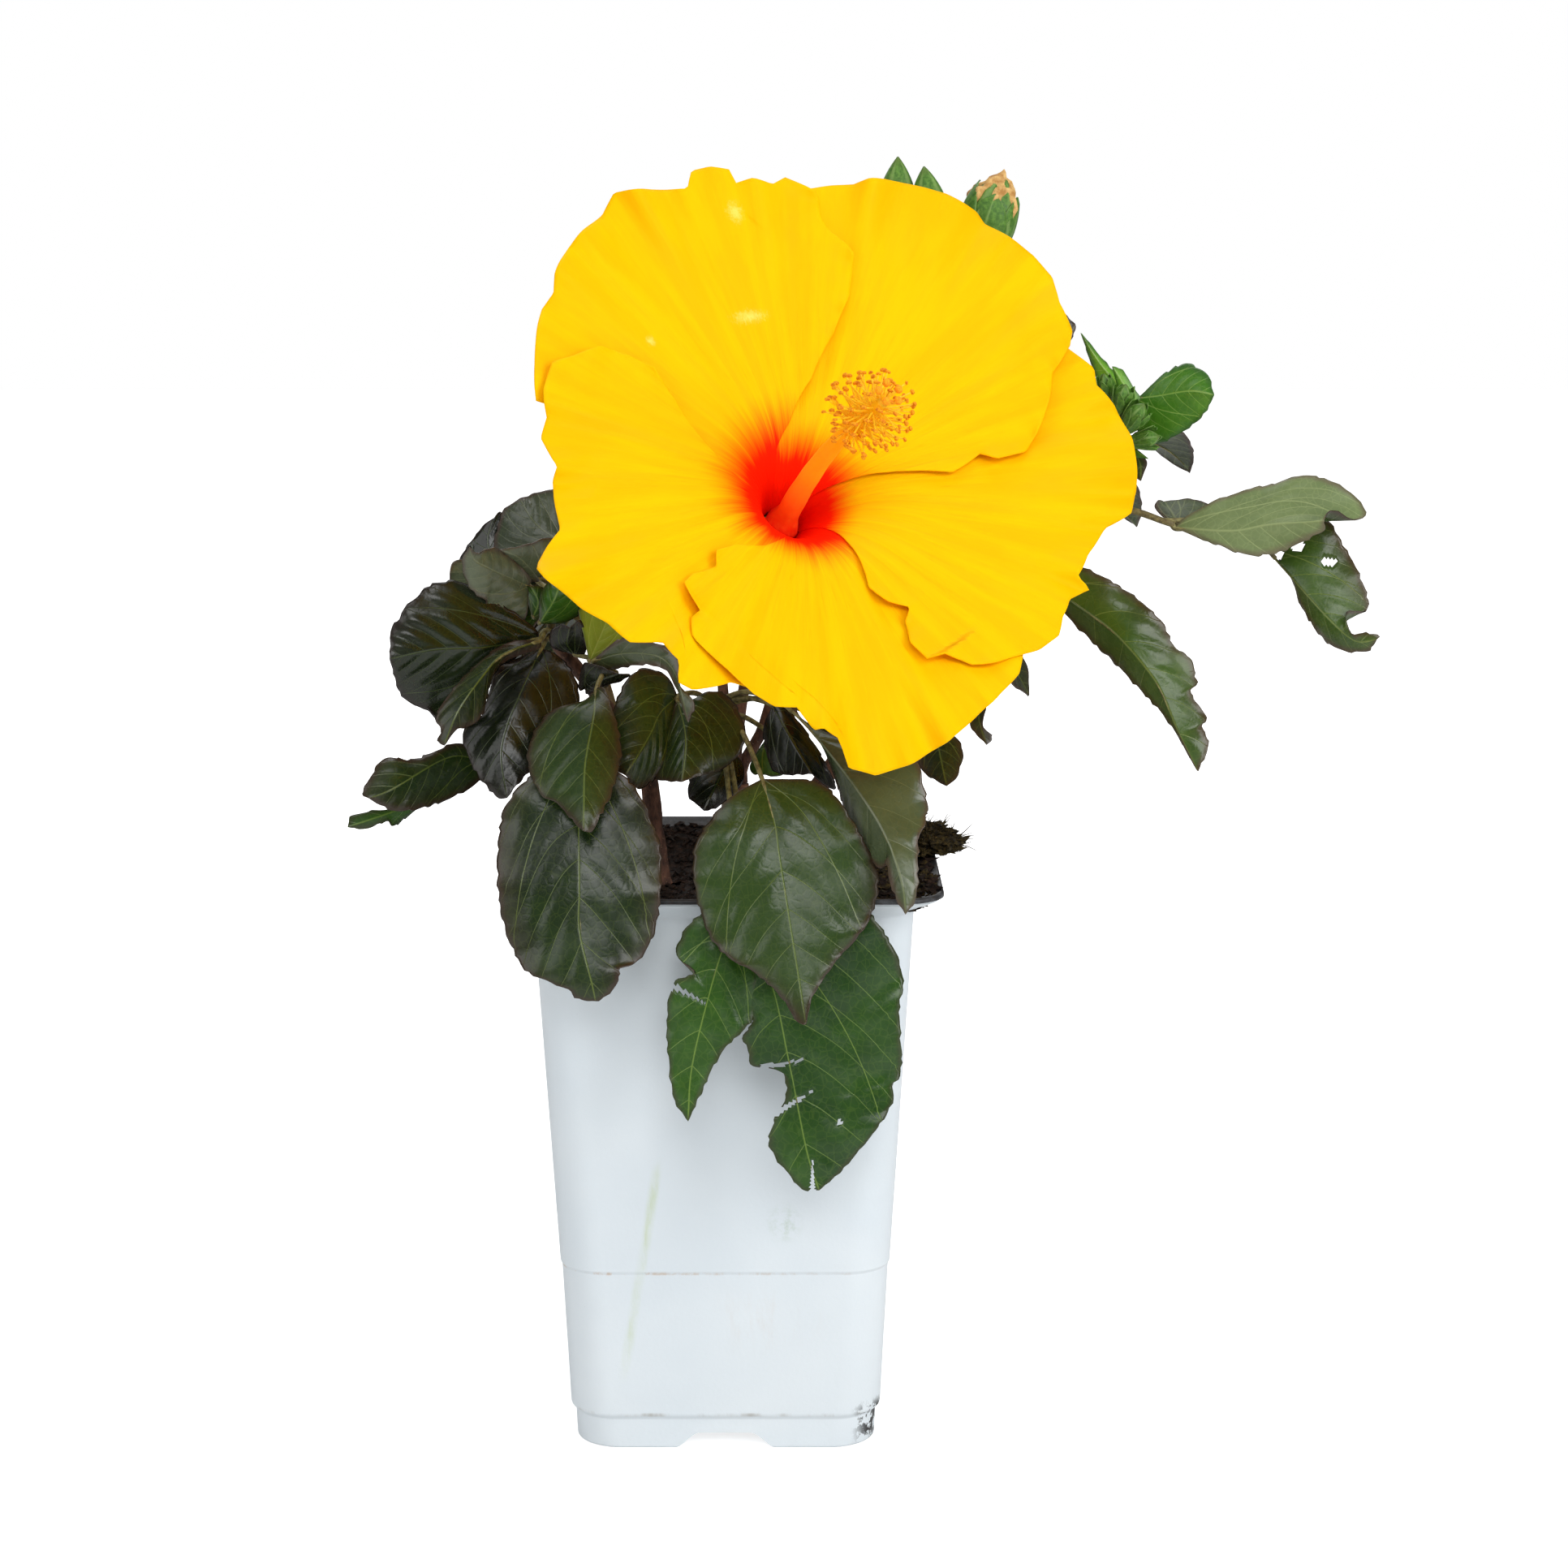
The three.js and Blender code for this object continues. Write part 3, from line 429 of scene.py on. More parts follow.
def bark_material(name, dark, light, scale=1.0):
    s = Shader(name, Specular_IOR_Level=0.3)
    place = s.place()
    flakes = s.noise(260 * scale, 5, 0.65, s.scaled(place, (1, 1, 0.4)))
    spots = s.cells(700 * scale, place, "F1")
    colour = s.mix(s.range(flakes, 0.35, 0.68), dark, light)
    colour = s.mix(s.range(spots, 0.12, 0.2, 0.45, 0.0), colour, (150, 125, 100))
    height = flakes + s.range(spots, 0.0, 0.25, 0.5, 0.0)
    return s.finish(colour, s.range(flakes, 0.3, 0.7, 0.65, 0.9), s.bump(height, 0.6, 0.0006))


BARK = bark_material("bark", (58, 38, 32), (122, 88, 72))
YOUNG_BARK = bark_material("young_bark", (78, 62, 44), (124, 112, 74), 1.5)


# Pale scars on a petal: millimetres from the throat, degrees round the axis, half the size round the axis in
# degrees and half the size outwards in millimetres.
SCARS = [(97, 93, 2, 4), (63.5, 97, 6.5, 2.5), (70, 131, 1.5, 2)]


def petal_material():
    s = Shader("petal", Specular_IOR_Level=0.04, Subsurface_Weight=0.12, Subsurface_Radius=(1, 0.8, 0.2),
               Subsurface_Scale=0.002)
    reach = s.attribute("reach")
    turn = s.attribute("turn")
    fine = s.noise(1.0, 3, 0.6, s.joined(turn * 46, reach * 0.035))
    broad = s.noise(1.0, 3, 0.55, s.joined(turn * 11, reach * 0.02))
    rays = s.noise(1.0, 2, 0.5, s.joined(turn * 24, reach * 0.012))
    glow = s.attribute("glow")
    wander = (fine + broad - 1.0) * 0.34
    red = glow + wander
    colour = s.mix(s.range(broad, 0.35, 0.7), (255, 184, 0), (255, 194, 0))
    colour = s.mix(s.range(fine, 0.62, 0.8, 0.0, 0.3), colour, (255, 206, 4))
    line = s.range(abs(rays - 0.5), 0.0, 0.018, 0.3, 0.0)
    line = line * s.range(reach, 30, 85, 1.0, 0.15)
    colour = s.mix(line, colour, (246, 158, 0))
    colour = s.mix(s.range(red, 0.92, 1.3, 1.0, 0.0), colour, (255, 140, 0))
    colour = s.mix(s.range(red, 0.72, 1.08, 1.0, 0.0), colour, (255, 30, 0))
    colour = s.mix(s.range(red, 0.1, 0.5, 0.5, 0.0), colour, (222, 0, 0))
    scratch = s.noise(1.0, 4, 0.8, s.joined(turn * 90, reach * 0.7))
    for at_reach, at_turn, long, wide in SCARS:
        away = (reach - at_reach) / wide
        aside = (turn - math.radians(at_turn)) / math.radians(long)
        far = s.calc("POWER", away * away + aside * aside, 0.5) + scratch * 2.6
        colour = s.mix(s.range(far, 1.2, 2.4, 0.6, 0.0), colour, (255, 234, 120))
    height = fine * 0.8 + broad * 1.2 - line
    return s.finish(colour, s.range(broad, 0.3, 0.7, 0.5, 0.62), s.bump(height, 0.35, 0.0005))


PETAL = petal_material()


def column_material():
    s = Shader("column", Specular_IOR_Level=0.3)
    share = s.attribute("share")
    specks = s.noise(500, 3, 0.6)
    colour = s.mix(s.range(share, 0.02, 0.16), (240, 24, 4), (255, 112, 20))
    colour = s.mix(s.range(share, 0.1, 0.45), colour, (255, 166, 18))
    colour = s.mix(s.range(share, 0.5, 0.9), colour, (255, 190, 10))
    colour = s.mix(s.range(specks, 0.4, 0.8, 0.0, 0.25), colour, (255, 150, 40))
    return s.finish(colour, s.range(specks, 0.3, 0.7, 0.42, 0.6), s.bump(specks, 0.3, 0.0003))


def dotted(name, dark, light, rough=0.6, scale=900, strength=0.5, distance=0.0002):
    s = Shader(name, Specular_IOR_Level=0.3)
    spots = s.noise(scale, 3, 0.6)
    colour = s.mix(s.range(spots, 0.35, 0.65), dark, light)
    gloss = s.range(spots, 0.3, 0.7, rough - 0.08, min(1.0, rough + 0.1))
    return s.finish(colour, gloss, s.bump(spots, strength, distance))


COLUMN_SKIN = column_material()
ANTHER = dotted("anther", (214, 116, 4), (250, 168, 16), 0.75, 1600)
STIGMA = dotted("stigma", (255, 140, 4), (255, 176, 24), 0.8, 2200, 0.9)
FILAMENT = dotted("filament", (255, 190, 8), (255, 214, 40), 0.5, 800)


def sepal_material(name, dark, light, tip):
    s = Shader(name, Specular_IOR_Level=0.35)
    ribs = s.attribute("ribs")
    share = s.attribute("share")
    hairs = s.noise(900, 3, 0.6)
    colour = s.mix(s.range(hairs, 0.3, 0.75), dark, light)
    colour = s.mix(s.range(ribs, 0.55, 1.0, 0.0, 0.45), colour, (140, 168, 96))
    colour = s.mix(s.range(share, 0.86, 1.0), colour, tip)
    height = ribs * 0.6 + hairs * 0.4
    return s.finish(colour, s.range(hairs, 0.3, 0.7, 0.42, 0.6), s.bump(height, 0.4, 0.0004))


BUD = sepal_material("bud_sepal", (58, 100, 26), (96, 140, 52), (84, 110, 40))
DRY_PETAL = dotted("dry_petal", (176, 126, 66), (222, 182, 116), 0.8, 300, 0.9, 0.0008)
CALYX_SKIN = sepal_material("calyx_sepal", (74, 116, 52), (120, 156, 82), (110, 150, 78))


def pot_material():
    s = Shader("pot_plastic_white", Specular_IOR_Level=0.4)
    place = s.place()
    x, y, z = (s.node("ShaderNodeSeparateXYZ", [place], axis) for axis in "XYZ")
    front = s.range(y, -0.03, -0.045)
    film = s.noise(9, 4, 0.6, place)
    colour = s.mix(s.range(film, 0.3, 0.75), (214, 223, 229), (225, 232, 236))

    def patch(at_x, at_z, wide, high):
        """1 in the middle of a soft spot on the front."""
        dx = (x - at_x) / wide
        dz = (z - at_z) / high
        far = s.calc("SQRT", dx * dx + dz * dz)
        return s.range(far, 0.0, 1.0, 1.0, 0.0) * front

    scrub = s.noise(120, 5, 0.7, s.scaled(place, (1, 1, 0.25)))
    streak_x = x + (z - 0.075) * -0.16
    near = s.range(abs(streak_x - -0.0235), 0.0, 0.0024, 1.0, 0.0)
    run = s.range(z, 0.02, 0.045) * s.range(z, 0.098, 0.086)
    streak = near * run * s.range(scrub, 0.35, 0.6, 0.1, 0.5) * front
    colour = s.mix(streak, colour, (178, 196, 120))
    mottle = s.range(s.noise(320, 4, 0.7, place), 0.42, 0.66, 0.0, 0.4)
    smudge = patch(0.0185, 0.0755, 0.007, 0.008) * mottle
    colour = s.mix(smudge, colour, (150, 176, 140))
    brown = patch(0.012, 0.043, 0.026, 0.014) * s.range(scrub, 0.45, 0.7, 0.0, 0.22)
    colour = s.mix(brown, colour, (206, 186, 168))
    line = s.range(abs(z - 0.0588), 0.0, 0.0009, 1.0, 0.0)
    broken = s.range(s.noise(150, 5, 0.75, s.scaled(place, (1, 1, 0.3))), 0.46, 0.62, 0.0, 0.75)
    ring = line * broken * s.range(x, -0.05, 0.04, 1.0, 0.3)
    colour = s.mix(ring, colour, (196, 168, 140))
    step = s.range(abs(z - 0.0117), 0.0, 0.0011, 1.0, 0.0)
    dirt = step * s.range(s.noise(90, 4, 0.7, s.scaled(place, (1, 1, 0.1))), 0.45, 0.66, 0.0, 0.6)
    colour = s.mix(dirt, colour, (150, 142, 128))
    corner = s.range(x, 0.039, 0.045) * s.range(z, 0.0, 0.004, 0.35, 1.0)
    corner = corner * s.range(z, 0.016, 0.012) * s.range(y, -0.03, -0.036)
    chips = corner * s.range(s.noise(300, 4, 0.75, place), 0.48, 0.53)
    colour = s.mix(chips, colour, (26, 24, 22))
    grime = s.range(s.noise(420, 5, 0.75, place), 0.68, 0.76, 0.0, 0.35)
    colour = s.mix(grime, colour, (178, 186, 190))
    rough = s.range(s.noise(30, 4, 0.65, place), 0.3, 0.7, 0.32, 0.46)
    height = s.noise(700, 3, 0.5, place) + s.noise(24, 2, 0.5, place)
    return s.finish(colour, rough, s.bump(height, 0.12, 0.0004))


def lining_material():
    s = Shader("lining_plastic_dark", Specular_IOR_Level=0.4)
    place = s.place()
    dust = s.noise(110, 5, 0.7, place)
    colour = s.mix(s.range(dust, 0.4, 0.72), (22, 22, 24), (84, 86, 90))
    colour = s.mix(s.range(s.noise(420, 3, 0.6, place), 0.6, 0.7, 0.0, 0.6), colour, (52, 36, 26))
    return s.finish(colour, s.range(dust, 0.3, 0.7, 0.38, 0.62), s.bump(dust, 0.3, 0.0004))


def peat_material(name, dark, light, straw):
    s = Shader(name, Specular_IOR_Level=0.25)
    place = s.place()
    grain = s.noise(420, 6, 0.75, place)
    fibre = s.noise(160, 4, 0.7, s.scaled(place, (1, 6, 2)), 1.5)
    colour = s.mix(s.range(grain, 0.38, 0.66), dark, light)
    colour = s.mix(s.range(fibre, 0.62, 0.72, 0.0, 0.75), colour, straw)
    return s.finish(colour, s.range(grain, 0.3, 0.7, 0.85, 1.0), s.bump(grain, 1.0, 0.002))


PEAT = peat_material("peat", (20, 13, 10), (60, 42, 32), (110, 84, 58))
MOSS = peat_material("peat_moss", (28, 22, 12), (88, 74, 36), (168, 138, 84))

# ---------------------------------------------------------------- pot

# The pot in millimetres: half widths from its axis, then levels above its underside, then thicknesses.
FOOT_HALF, BODY_HALF, SHOULDER_HALF, RIM = 47.2, 49, 58.3, 67
FLOOR, FOOT_BAND, RING, SHOULDER, HEIGHT = 7.5, 11.5, 59, 173.5, 181
WALL, LINING, LIP, STEP = 1.2, 0.8, 1.6, 0.5
CORNER_RADIUS, CORNER_STEPS = 14, 12
FLANGE_HALF = RIM - LINING - CLEARANCE
NOTCH = dict(depth=16, top_width=15.5, base_width=33, height=5.3)
SOIL_TOP = 172


def pot_half(z):
    """Half the pot's width at some height."""
    share = (z - FOOT_BAND) / (SHOULDER - FOOT_BAND)
    return lerp(BODY_HALF, SHOULDER_HALF, share)


def square_lathe(profile, flat_steps=6):
    """A closed profile of [half width, height] points lathed and squared off, with round corners."""
    steps = CORNER_STEPS
    verts, faces, ring = [], [], []
    for corner in range(4):
        ring += [(corner, k / steps, 0) for k in range(steps + 1)]
        ring += [(corner, 1, k / flat_steps) for k in range(1, flat_steps)]
    count = len(ring)

    def at(half, corner, share, flat):
        radius = min(CORNER_RADIUS, 0.9 * half)
        reach = (half - radius) * math.sqrt(2)

        def point(c, a):
            angle = math.pi / 2 * (c + a)
            middle = math.pi / 4 + c * math.pi / 2
            return polar(middle, reach) + polar(angle, radius)

        return lerp(point(corner, share), point(corner + 1, 0), flat) if flat else point(corner, share)

    rows = []
    for half, z in profile:
        if half < 1e-6:
            rows.append([len(verts)] * count)
            verts.append((0, 0, z))
            continue
        row = []
        for corner, share, flat in ring:
            row.append(len(verts))
            verts.append(at(half, corner, share, flat) + vec(0, 0, z))
        rows.append(row)
    for a, b in zip(rows, rows[1:]):
        for k in range(count):
            n = (k + 1) % count
            face = tuple(dict.fromkeys((a[k], a[n], b[n], b[k])))
            if len(face) > 2:
                faces.append(face)
    return np.array(verts, float), faces


def rounded(profile, sizes):
    """Rounds corners of a profile: sizes maps a point's index to how far the curve starts from it."""
    out = []
    for i, p in enumerate(profile):
        p = np.array(p, float)
        if i not in sizes:
            out.append(tuple(p))
            continue
        before = unit(np.array(profile[i - 1], float) - p) * sizes[i]
        after = unit(np.array(profile[i + 1], float) - p) * sizes[i]
        out += [tuple(p + before * (1 - t) ** 2 + after * t**2) for t in (0, 0.25, 0.5, 0.75, 1)]
    return out


def make_pot():
    """The white outer layer, with a foot band, a ring and a flange under the rim."""
    flange_top = HEIGHT - LINING - 2 * CLEARANCE
    outer = [
        (0, 0), (FOOT_HALF, 0), (FOOT_HALF + 0.4, FOOT_BAND - 1.5),
        (BODY_HALF, FOOT_BAND), (pot_half(RING) - STEP, RING - 0.5), (pot_half(RING), RING + 0.5),
        (SHOULDER_HALF, SHOULDER), (FLANGE_HALF, flange_top - WALL), (FLANGE_HALF, flange_top),
        (pot_half(SHOULDER + 0.7) - WALL, SHOULDER + 0.7), (pot_half(RING) - WALL - STEP, RING),
        (pot_half(FLOOR) - WALL - 2, FLOOR), (0, FLOOR),
    ]
    return square_lathe(rounded(outer, {1: 1.2, 2: 0.5, 3: 0.8, 4: 0.3, 5: 0.3, 6: 0.9}))


def cut_notches(piece):
    """Cuts the drainage notch, with its eased edges, in the middle of each side of the foot."""
    half_base, half_top = NOTCH["base_width"] / 2, NOTCH["top_width"] / 2
    high, depth = NOTCH["height"], NOTCH["depth"]
    outline = [(-half_base - 1, -2)]
    outline += [(lerp(-half_base, -half_top, k / 12), high * float(smooth(k / 12))) for k in range(13)]
    outline += [(-x, z) for x, z in reversed(outline)]
    for side in range(4):
        angle = side * math.pi / 2
        verts = []
        for out in (FOOT_HALF - depth, FOOT_HALF + depth):
            for x, z in outline:
                verts.append((*turned(x, -out, angle), z))
        count = len(outline)
        faces = [tuple(range(count)), tuple(range(2 * count - 1, count - 1, -1))]
        faces += [(k, k + count, (k + 1) % count + count, (k + 1) % count) for k in range(count)]
        mesh = bpy.data.meshes.new("cutter")
        mesh.from_pydata((np.array(verts) * MM).tolist(), [], faces)
        mesh.validate()
        cutter = placed("cutter", mesh)
        modifier = piece.modifiers.new("notch", "BOOLEAN")
        modifier.operation = "DIFFERENCE"
        modifier.solver = "EXACT"
        modifier.object = cutter
        bpy.context.view_layer.update()
        evaluated = piece.evaluated_get(bpy.context.evaluated_depsgraph_get())
        cut = bpy.data.meshes.new_from_object(evaluated)
        piece.modifiers.clear()
        piece.data = cut
        bpy.data.objects.remove(cutter)


def sharp_shade(piece, degrees=32):
    """Smooth shading that keeps the real edges crisp."""
    piece.data.polygons.foreach_set("use_smooth", np.ones(len(piece.data.polygons), bool))
    piece.data.set_sharp_from_angle(angle=math.radians(degrees))


pot = Mesh()
pot.add(*make_pot())
pot_piece = pot.build("pot_shell", [pot_material()], "pot_plastic", ["pot"])
cut_notches(pot_piece)
sharp_shade(pot_piece)


def make_lining():
    """The dark inner layer, which carries the rim's lip."""
    gap = WALL + CLEARANCE
    layer = gap + LINING
    inner = [
        (0, FLOOR + CLEARANCE), (pot_half(FLOOR) - gap - 2, FLOOR + CLEARANCE),
        (pot_half(RING) - gap - STEP, RING), (pot_half(SHOULDER + 1.4) - gap, SHOULDER + 1.4),
        (FLANGE_HALF + CLEARANCE, HEIGHT - LINING), (FLANGE_HALF + CLEARANCE, HEIGHT - LIP),
        (RIM, HEIGHT - LIP), (RIM, HEIGHT - 0.6), (RIM - 0.6, HEIGHT),
        (pot_half(SHOULDER + 2.2) - layer, SHOULDER + 2.2), (pot_half(RING) - layer - STEP, RING),
        (pot_half(FLOOR) - layer - 2, FLOOR + CLEARANCE + LINING), (0, FLOOR + CLEARANCE + LINING),
    ]
    return square_lathe(rounded(inner, {7: 0.4, 8: 0.4, 9: 1.2}))


lining = Mesh()
lining.add(*make_lining())
lining_piece = lining.build("pot_liner", [lining_material()], "lining_plastic", ["pot_lining"])
sharp_shade(lining_piece)

# ---------------------------------------------------------------- peat

SOIL_INSET = WALL + LINING + 2 * CLEARANCE


def soil_height(x, y, edge):
    """The lumpy surface of the peat, heaped at the back and on the right."""
    out = max(abs(x), abs(y)) / edge
    lumps = 2.2 * noise.noise(Vector((x * 0.07, y * 0.07, 3.1)))
    lumps += 1.3 * noise.noise(Vector((x * 0.2, y * 0.2, 9.0)))
    grain = 0.7 * noise.noise(Vector((x * 0.55, y * 0.55, 1.7)))
    heap = 8.5 * smooth(y / edge, 0.3, 0.95) + 4.5 * smooth(x / edge, 0.6, 1.0)
    rim = -1.5 * smooth(out, 0.93, 1.0)
    return SOIL_TOP + float(smooth(out, 0.35, 0.7)) * lumps * 0.8 + grain * 0.6 + float(heap) + float(rim)


def make_soil():
    """The peat: its surface as a grid drawn in at the pot's round corners, its sides and its underside."""
    edge = pot_half(SOIL_TOP - 2) - SOIL_INSET
    corner = edge - CORNER_RADIUS
    steps = 96
    side = steps + 1
    verts, faces = [], []
    for i in range(side):
        for j in range(side):
            x, y = lerp(-edge, edge, i / steps), lerp(-edge, edge, j / steps)
            dx, dy = max(0, abs(x) - corner), max(0, abs(y) - corner)
            if dx > 0 and dy > 0:
                drawn_in = max(dx, dy) / math.hypot(dx, dy)
                x = math.copysign(corner + dx * drawn_in, x)
                y = math.copysign(corner + dy * drawn_in, y)
            verts.append((x, y, soil_height(x, y, edge)))
    for i in range(steps):
        for j in range(steps):
            a = i * side + j
            faces.append((a, a + side, a + side + 1, a + 1))
    border = [i * side for i in range(side)] + [steps * side + j for j in range(1, side)]
    border += [i * side + steps for i in range(steps - 1, -1, -1)] + list(range(steps - 1, 0, -1))
    levels = [RING, FLOOR + LINING + 2 * CLEARANCE]
    previous = border
    for z in levels:
        scale = (pot_half(z) - SOIL_INSET - 0.6) / edge
        start = len(verts)
        verts += [(verts[b][0] * scale, verts[b][1] * scale, z) for b in border]
        row = list(range(start, start + len(border)))
        for k in range(len(border)):
            n = (k + 1) % len(border)
            faces.append((previous[k], row[k], row[n], previous[n]))
        previous = row
    verts.append((0, 0, levels[-1]))
    faces += [(previous[k], len(verts) - 1, previous[(k + 1) % len(previous)]) for k in range(len(previous))]
    return verts, faces, edge


def chip(rng, centre, size, stretch):
    """A crumb of peat or bark: a small irregular lump with eight faces."""
    directions = [(1, 0, 0), (-1, 0, 0), (0, 1, 0), (0, -1, 0), (0, 0, 1), (0, 0, -1)]
    turn = [rng.uniform(0, 2 * math.pi) for _ in range(2)]
    verts = []
    for d in directions:
        x, y, z = vec(*d) * rng.uniform(0.6, 1.2) * size * vec(stretch, 1, 0.7)
        x, y = turned(x, y, turn[0])
        x, z = turned(x, z, 0.5 * math.sin(turn[1]))
        verts.append(vec(x, y, z) + centre)
    return verts, [(0, 2, 4), (2, 1, 4), (1, 3, 4), (3, 0, 4), (2, 0, 5), (1, 2, 5), (3, 1, 5), (0, 3, 5)]


soil_verts, soil_faces, SOIL_EDGE = make_soil()
soil = Mesh()
soil.add(soil_verts, soil_faces)
soil.build("peat_bed", [PEAT], "peat", ["soil"])
crumbs = Mesh()
crumb_rng = random.Random(3)
SURFACE_CRUMBS, EDGE_CRUMBS = 2600, 1500
for _ in range(SURFACE_CRUMBS):
    x, y = crumb_rng.uniform(-1, 1) * (SOIL_EDGE - 3), crumb_rng.uniform(-1, 1) * (SOIL_EDGE - 3)
    corner = SOIL_EDGE - CORNER_RADIUS
    if math.hypot(max(0, abs(x) - corner), max(0, abs(y) - corner)) > CORNER_RADIUS - 3:
        continue
    size = crumb_rng.uniform(0.35, 1.5) ** 1.5
    z = soil_height(x, y, SOIL_EDGE) + 0.2 * size
    crumbs.add(*chip(crumb_rng, vec(x, y, z), size, crumb_rng.uniform(1, 2.2)), slot=0)
for _ in range(EDGE_CRUMBS):
    x, y = crumb_rng.uniform(47, 65.5), crumb_rng.uniform(-60, 60)
    if math.hypot(max(0, x - 53), max(0, abs(y) - 53)) > 12 or crumb_rng.random() < 0.4 * smooth(y, 0, 40):
        continue
    size = crumb_rng.uniform(0.5, 1.7) ** 1.5
    z = max(soil_height(min(x, SOIL_EDGE), y, SOIL_EDGE), 175 + 0.62 * (x - 57)) + 0.6 * size
    crumb = chip(crumb_rng, vec(x, y, z), size, crumb_rng.uniform(1, 2.2))
    crumbs.add(*crumb, slot=crumb_rng.choice((0, 0, 1)))
crumbs.build("peat_crumbs", [PEAT, MOSS], "peat", smooth_faces=False)


def strand(rng, start, direction, length):
    """Points of a loose, slightly drooping fibre."""
    points = [start]
    d = unit(direction)
    for _ in range(4):
        stray = [rng.uniform(-reach, reach) for reach in (0.35, 0.35, 0.3)]
        d = unit(d + vec(*stray) - vec(0, 0, 0.06))
        points.append(points[-1] + d * length / 4)
    return points


# Lumps of the clump: how much they stand out and how close they are.
CLUMP_LUMPS = ((0.26, 2.3), (0.14, 6.5), (0.07, 15))


def make_clump():
    """The lump of peat and moss over the right-hand edge of the rim."""
    rng = random.Random(14)
    clump = Mesh()
    low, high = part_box("peat_clump")
    low, high = np.array(low) / MM, np.array(high) / MM
    centre = (low + high) / 2
    half = (high - low) / 2
    steps, rows = 40, 24
    verts = []
    for d in ball(rows, steps):
        lumps = [tall * noise.noise(Vector(d * pitch)) for tall, pitch in CLUMP_LUMPS]
        p = centre + d * half * (0.78 + sum(lumps))
        ground = 182.2 if max(abs(p[0]), abs(p[1])) > SHOULDER_HALF + 1 else 178.5
        p[2] = max(p[2], ground)
        verts.append(p)
    clump.add(verts, ring_faces(rows, steps, True))
    for _ in range(420):
        v = verts[rng.randrange(steps * 2, steps * (rows - 6))]
        clump.add(*chip(rng, v + vec(0, 0, 0.3), rng.uniform(0.6, 2.0), rng.uniform(1, 2.6)), slot=0)
    clump.build("peat_lump", [MOSS], "peat", ["peat_clump"], smooth_faces=False)
    fibres = Mesh()
    for _ in range(150):
        v = verts[rng.randrange(steps * 2, steps * (rows - 8))]
        out = unit(v - centre) + vec(0, 0, 0.3)
        length = rng.uniform(3, 8.5)
        line = strand(rng, v - unit(v - centre) * 0.8, out, length)
        if max(p[0] for p in line) > high[0] + 3 or max(p[2] for p in line) > high[2] + 4:
            continue
        fibres.add_tube(line, taper(0.26, 0.065), 4, 6)
    fibres.build("peat_fibres", [MOSS], "peat")


make_clump()

# ---------------------------------------------------------------- stems and boughs

# Each limb's curve and radius, by name.
limbs = {}
FORK = vec(3, 0, 204)
FORK_RING = 2.4
STEM_FOOT = SOIL_TOP + CLEARANCE


def bark_relief(seed, depth):
    """Lumps and leaf rings of bark, as a share of the radius."""
    def relief(t, a, length):
        at = Vector((math.cos(a) * 1.1, math.sin(a) * 1.1, t * length * 0.16 + seed))
        fine = Vector((math.cos(a) * 3.2, math.sin(a) * 3.2, t * length * 0.5 + seed))
        ring = max(0.0, math.cos(2 * math.pi * (t * length / 11.0 + 0.13 * seed))) ** 14
        return depth * (noise.noise(at) + 0.5 * noise.noise(fine)) + 0.5 * depth * ring
    return relief


def add_limb(name, points, radius, sides, steps, pitch, depth, material, trim=0.0):
    """A stem or bough with bark. The others that grow from it find it in limbs; trim is its lowest level."""
    limbs[name] = (Curve(points), radius)
    verts, faces, along = tube(limbs[name][0], radius, sides, steps, bark_relief(len(limbs) * pitch, depth))
    verts[:, 2] = np.maximum(verts[:, 2], trim)
    piece = Mesh()
    piece.add(verts, faces, share=along)
    piece.build(name + "_bark", [material], "bark", [name])


def add_stem(name, foot, rest, a, b):
    """A stem with a flared foot, cut flat just above the peat."""
    plain = taper(a, b)

    def radius(t):
        return plain(t) * (1 + 0.7 * max(0, 1 - t / 0.1) ** 2)

    add_limb(name, [(*foot, STEM_FOOT - 6), *rest], radius, 20, 90, 3.7, 0.09, BARK, STEM_FOOT)


def side_of(name, share, toward, radius):
    """Where a limb of some radius stands off the side of another that carries it."""
    curve, parent_radius = limbs[name]
    centre = curve.at(share)
    direction = unit(vec(*toward) - centre)
    lean = abs(direction.dot(curve.tangent(share)))
    reach = (parent_radius(share) + CLEARANCE + radius * lean) / math.sqrt(1 - lean * lean)
    return centre + direction * reach


def beyond_tip(name):
    """The first two points of what grows on from a limb's tip."""
    curve, _ = limbs[name]
    return [curve.at(1) + curve.tangent(1) * (CLEARANCE + 0.05), curve.at(1) + curve.tangent(1) * 3]


def on_fork(degrees):
    """The first two points of a bough on the fork of the middle stem."""
    foot = FORK + polar(math.radians(degrees), FORK_RING)
    return [foot + vec(0, 0, 0.35), foot + vec(0, 0, 5)]


def add_bough(name, points, a, b, material=BARK):
    add_limb(name, points, taper(a, b), 16, 40, 2.9, 0.07, material)


def add_side_bough(name, parent, share, points, a, b):
    add_bough(name, [side_of(parent, share, points[0], a), *points], a, b, YOUNG_BARK)


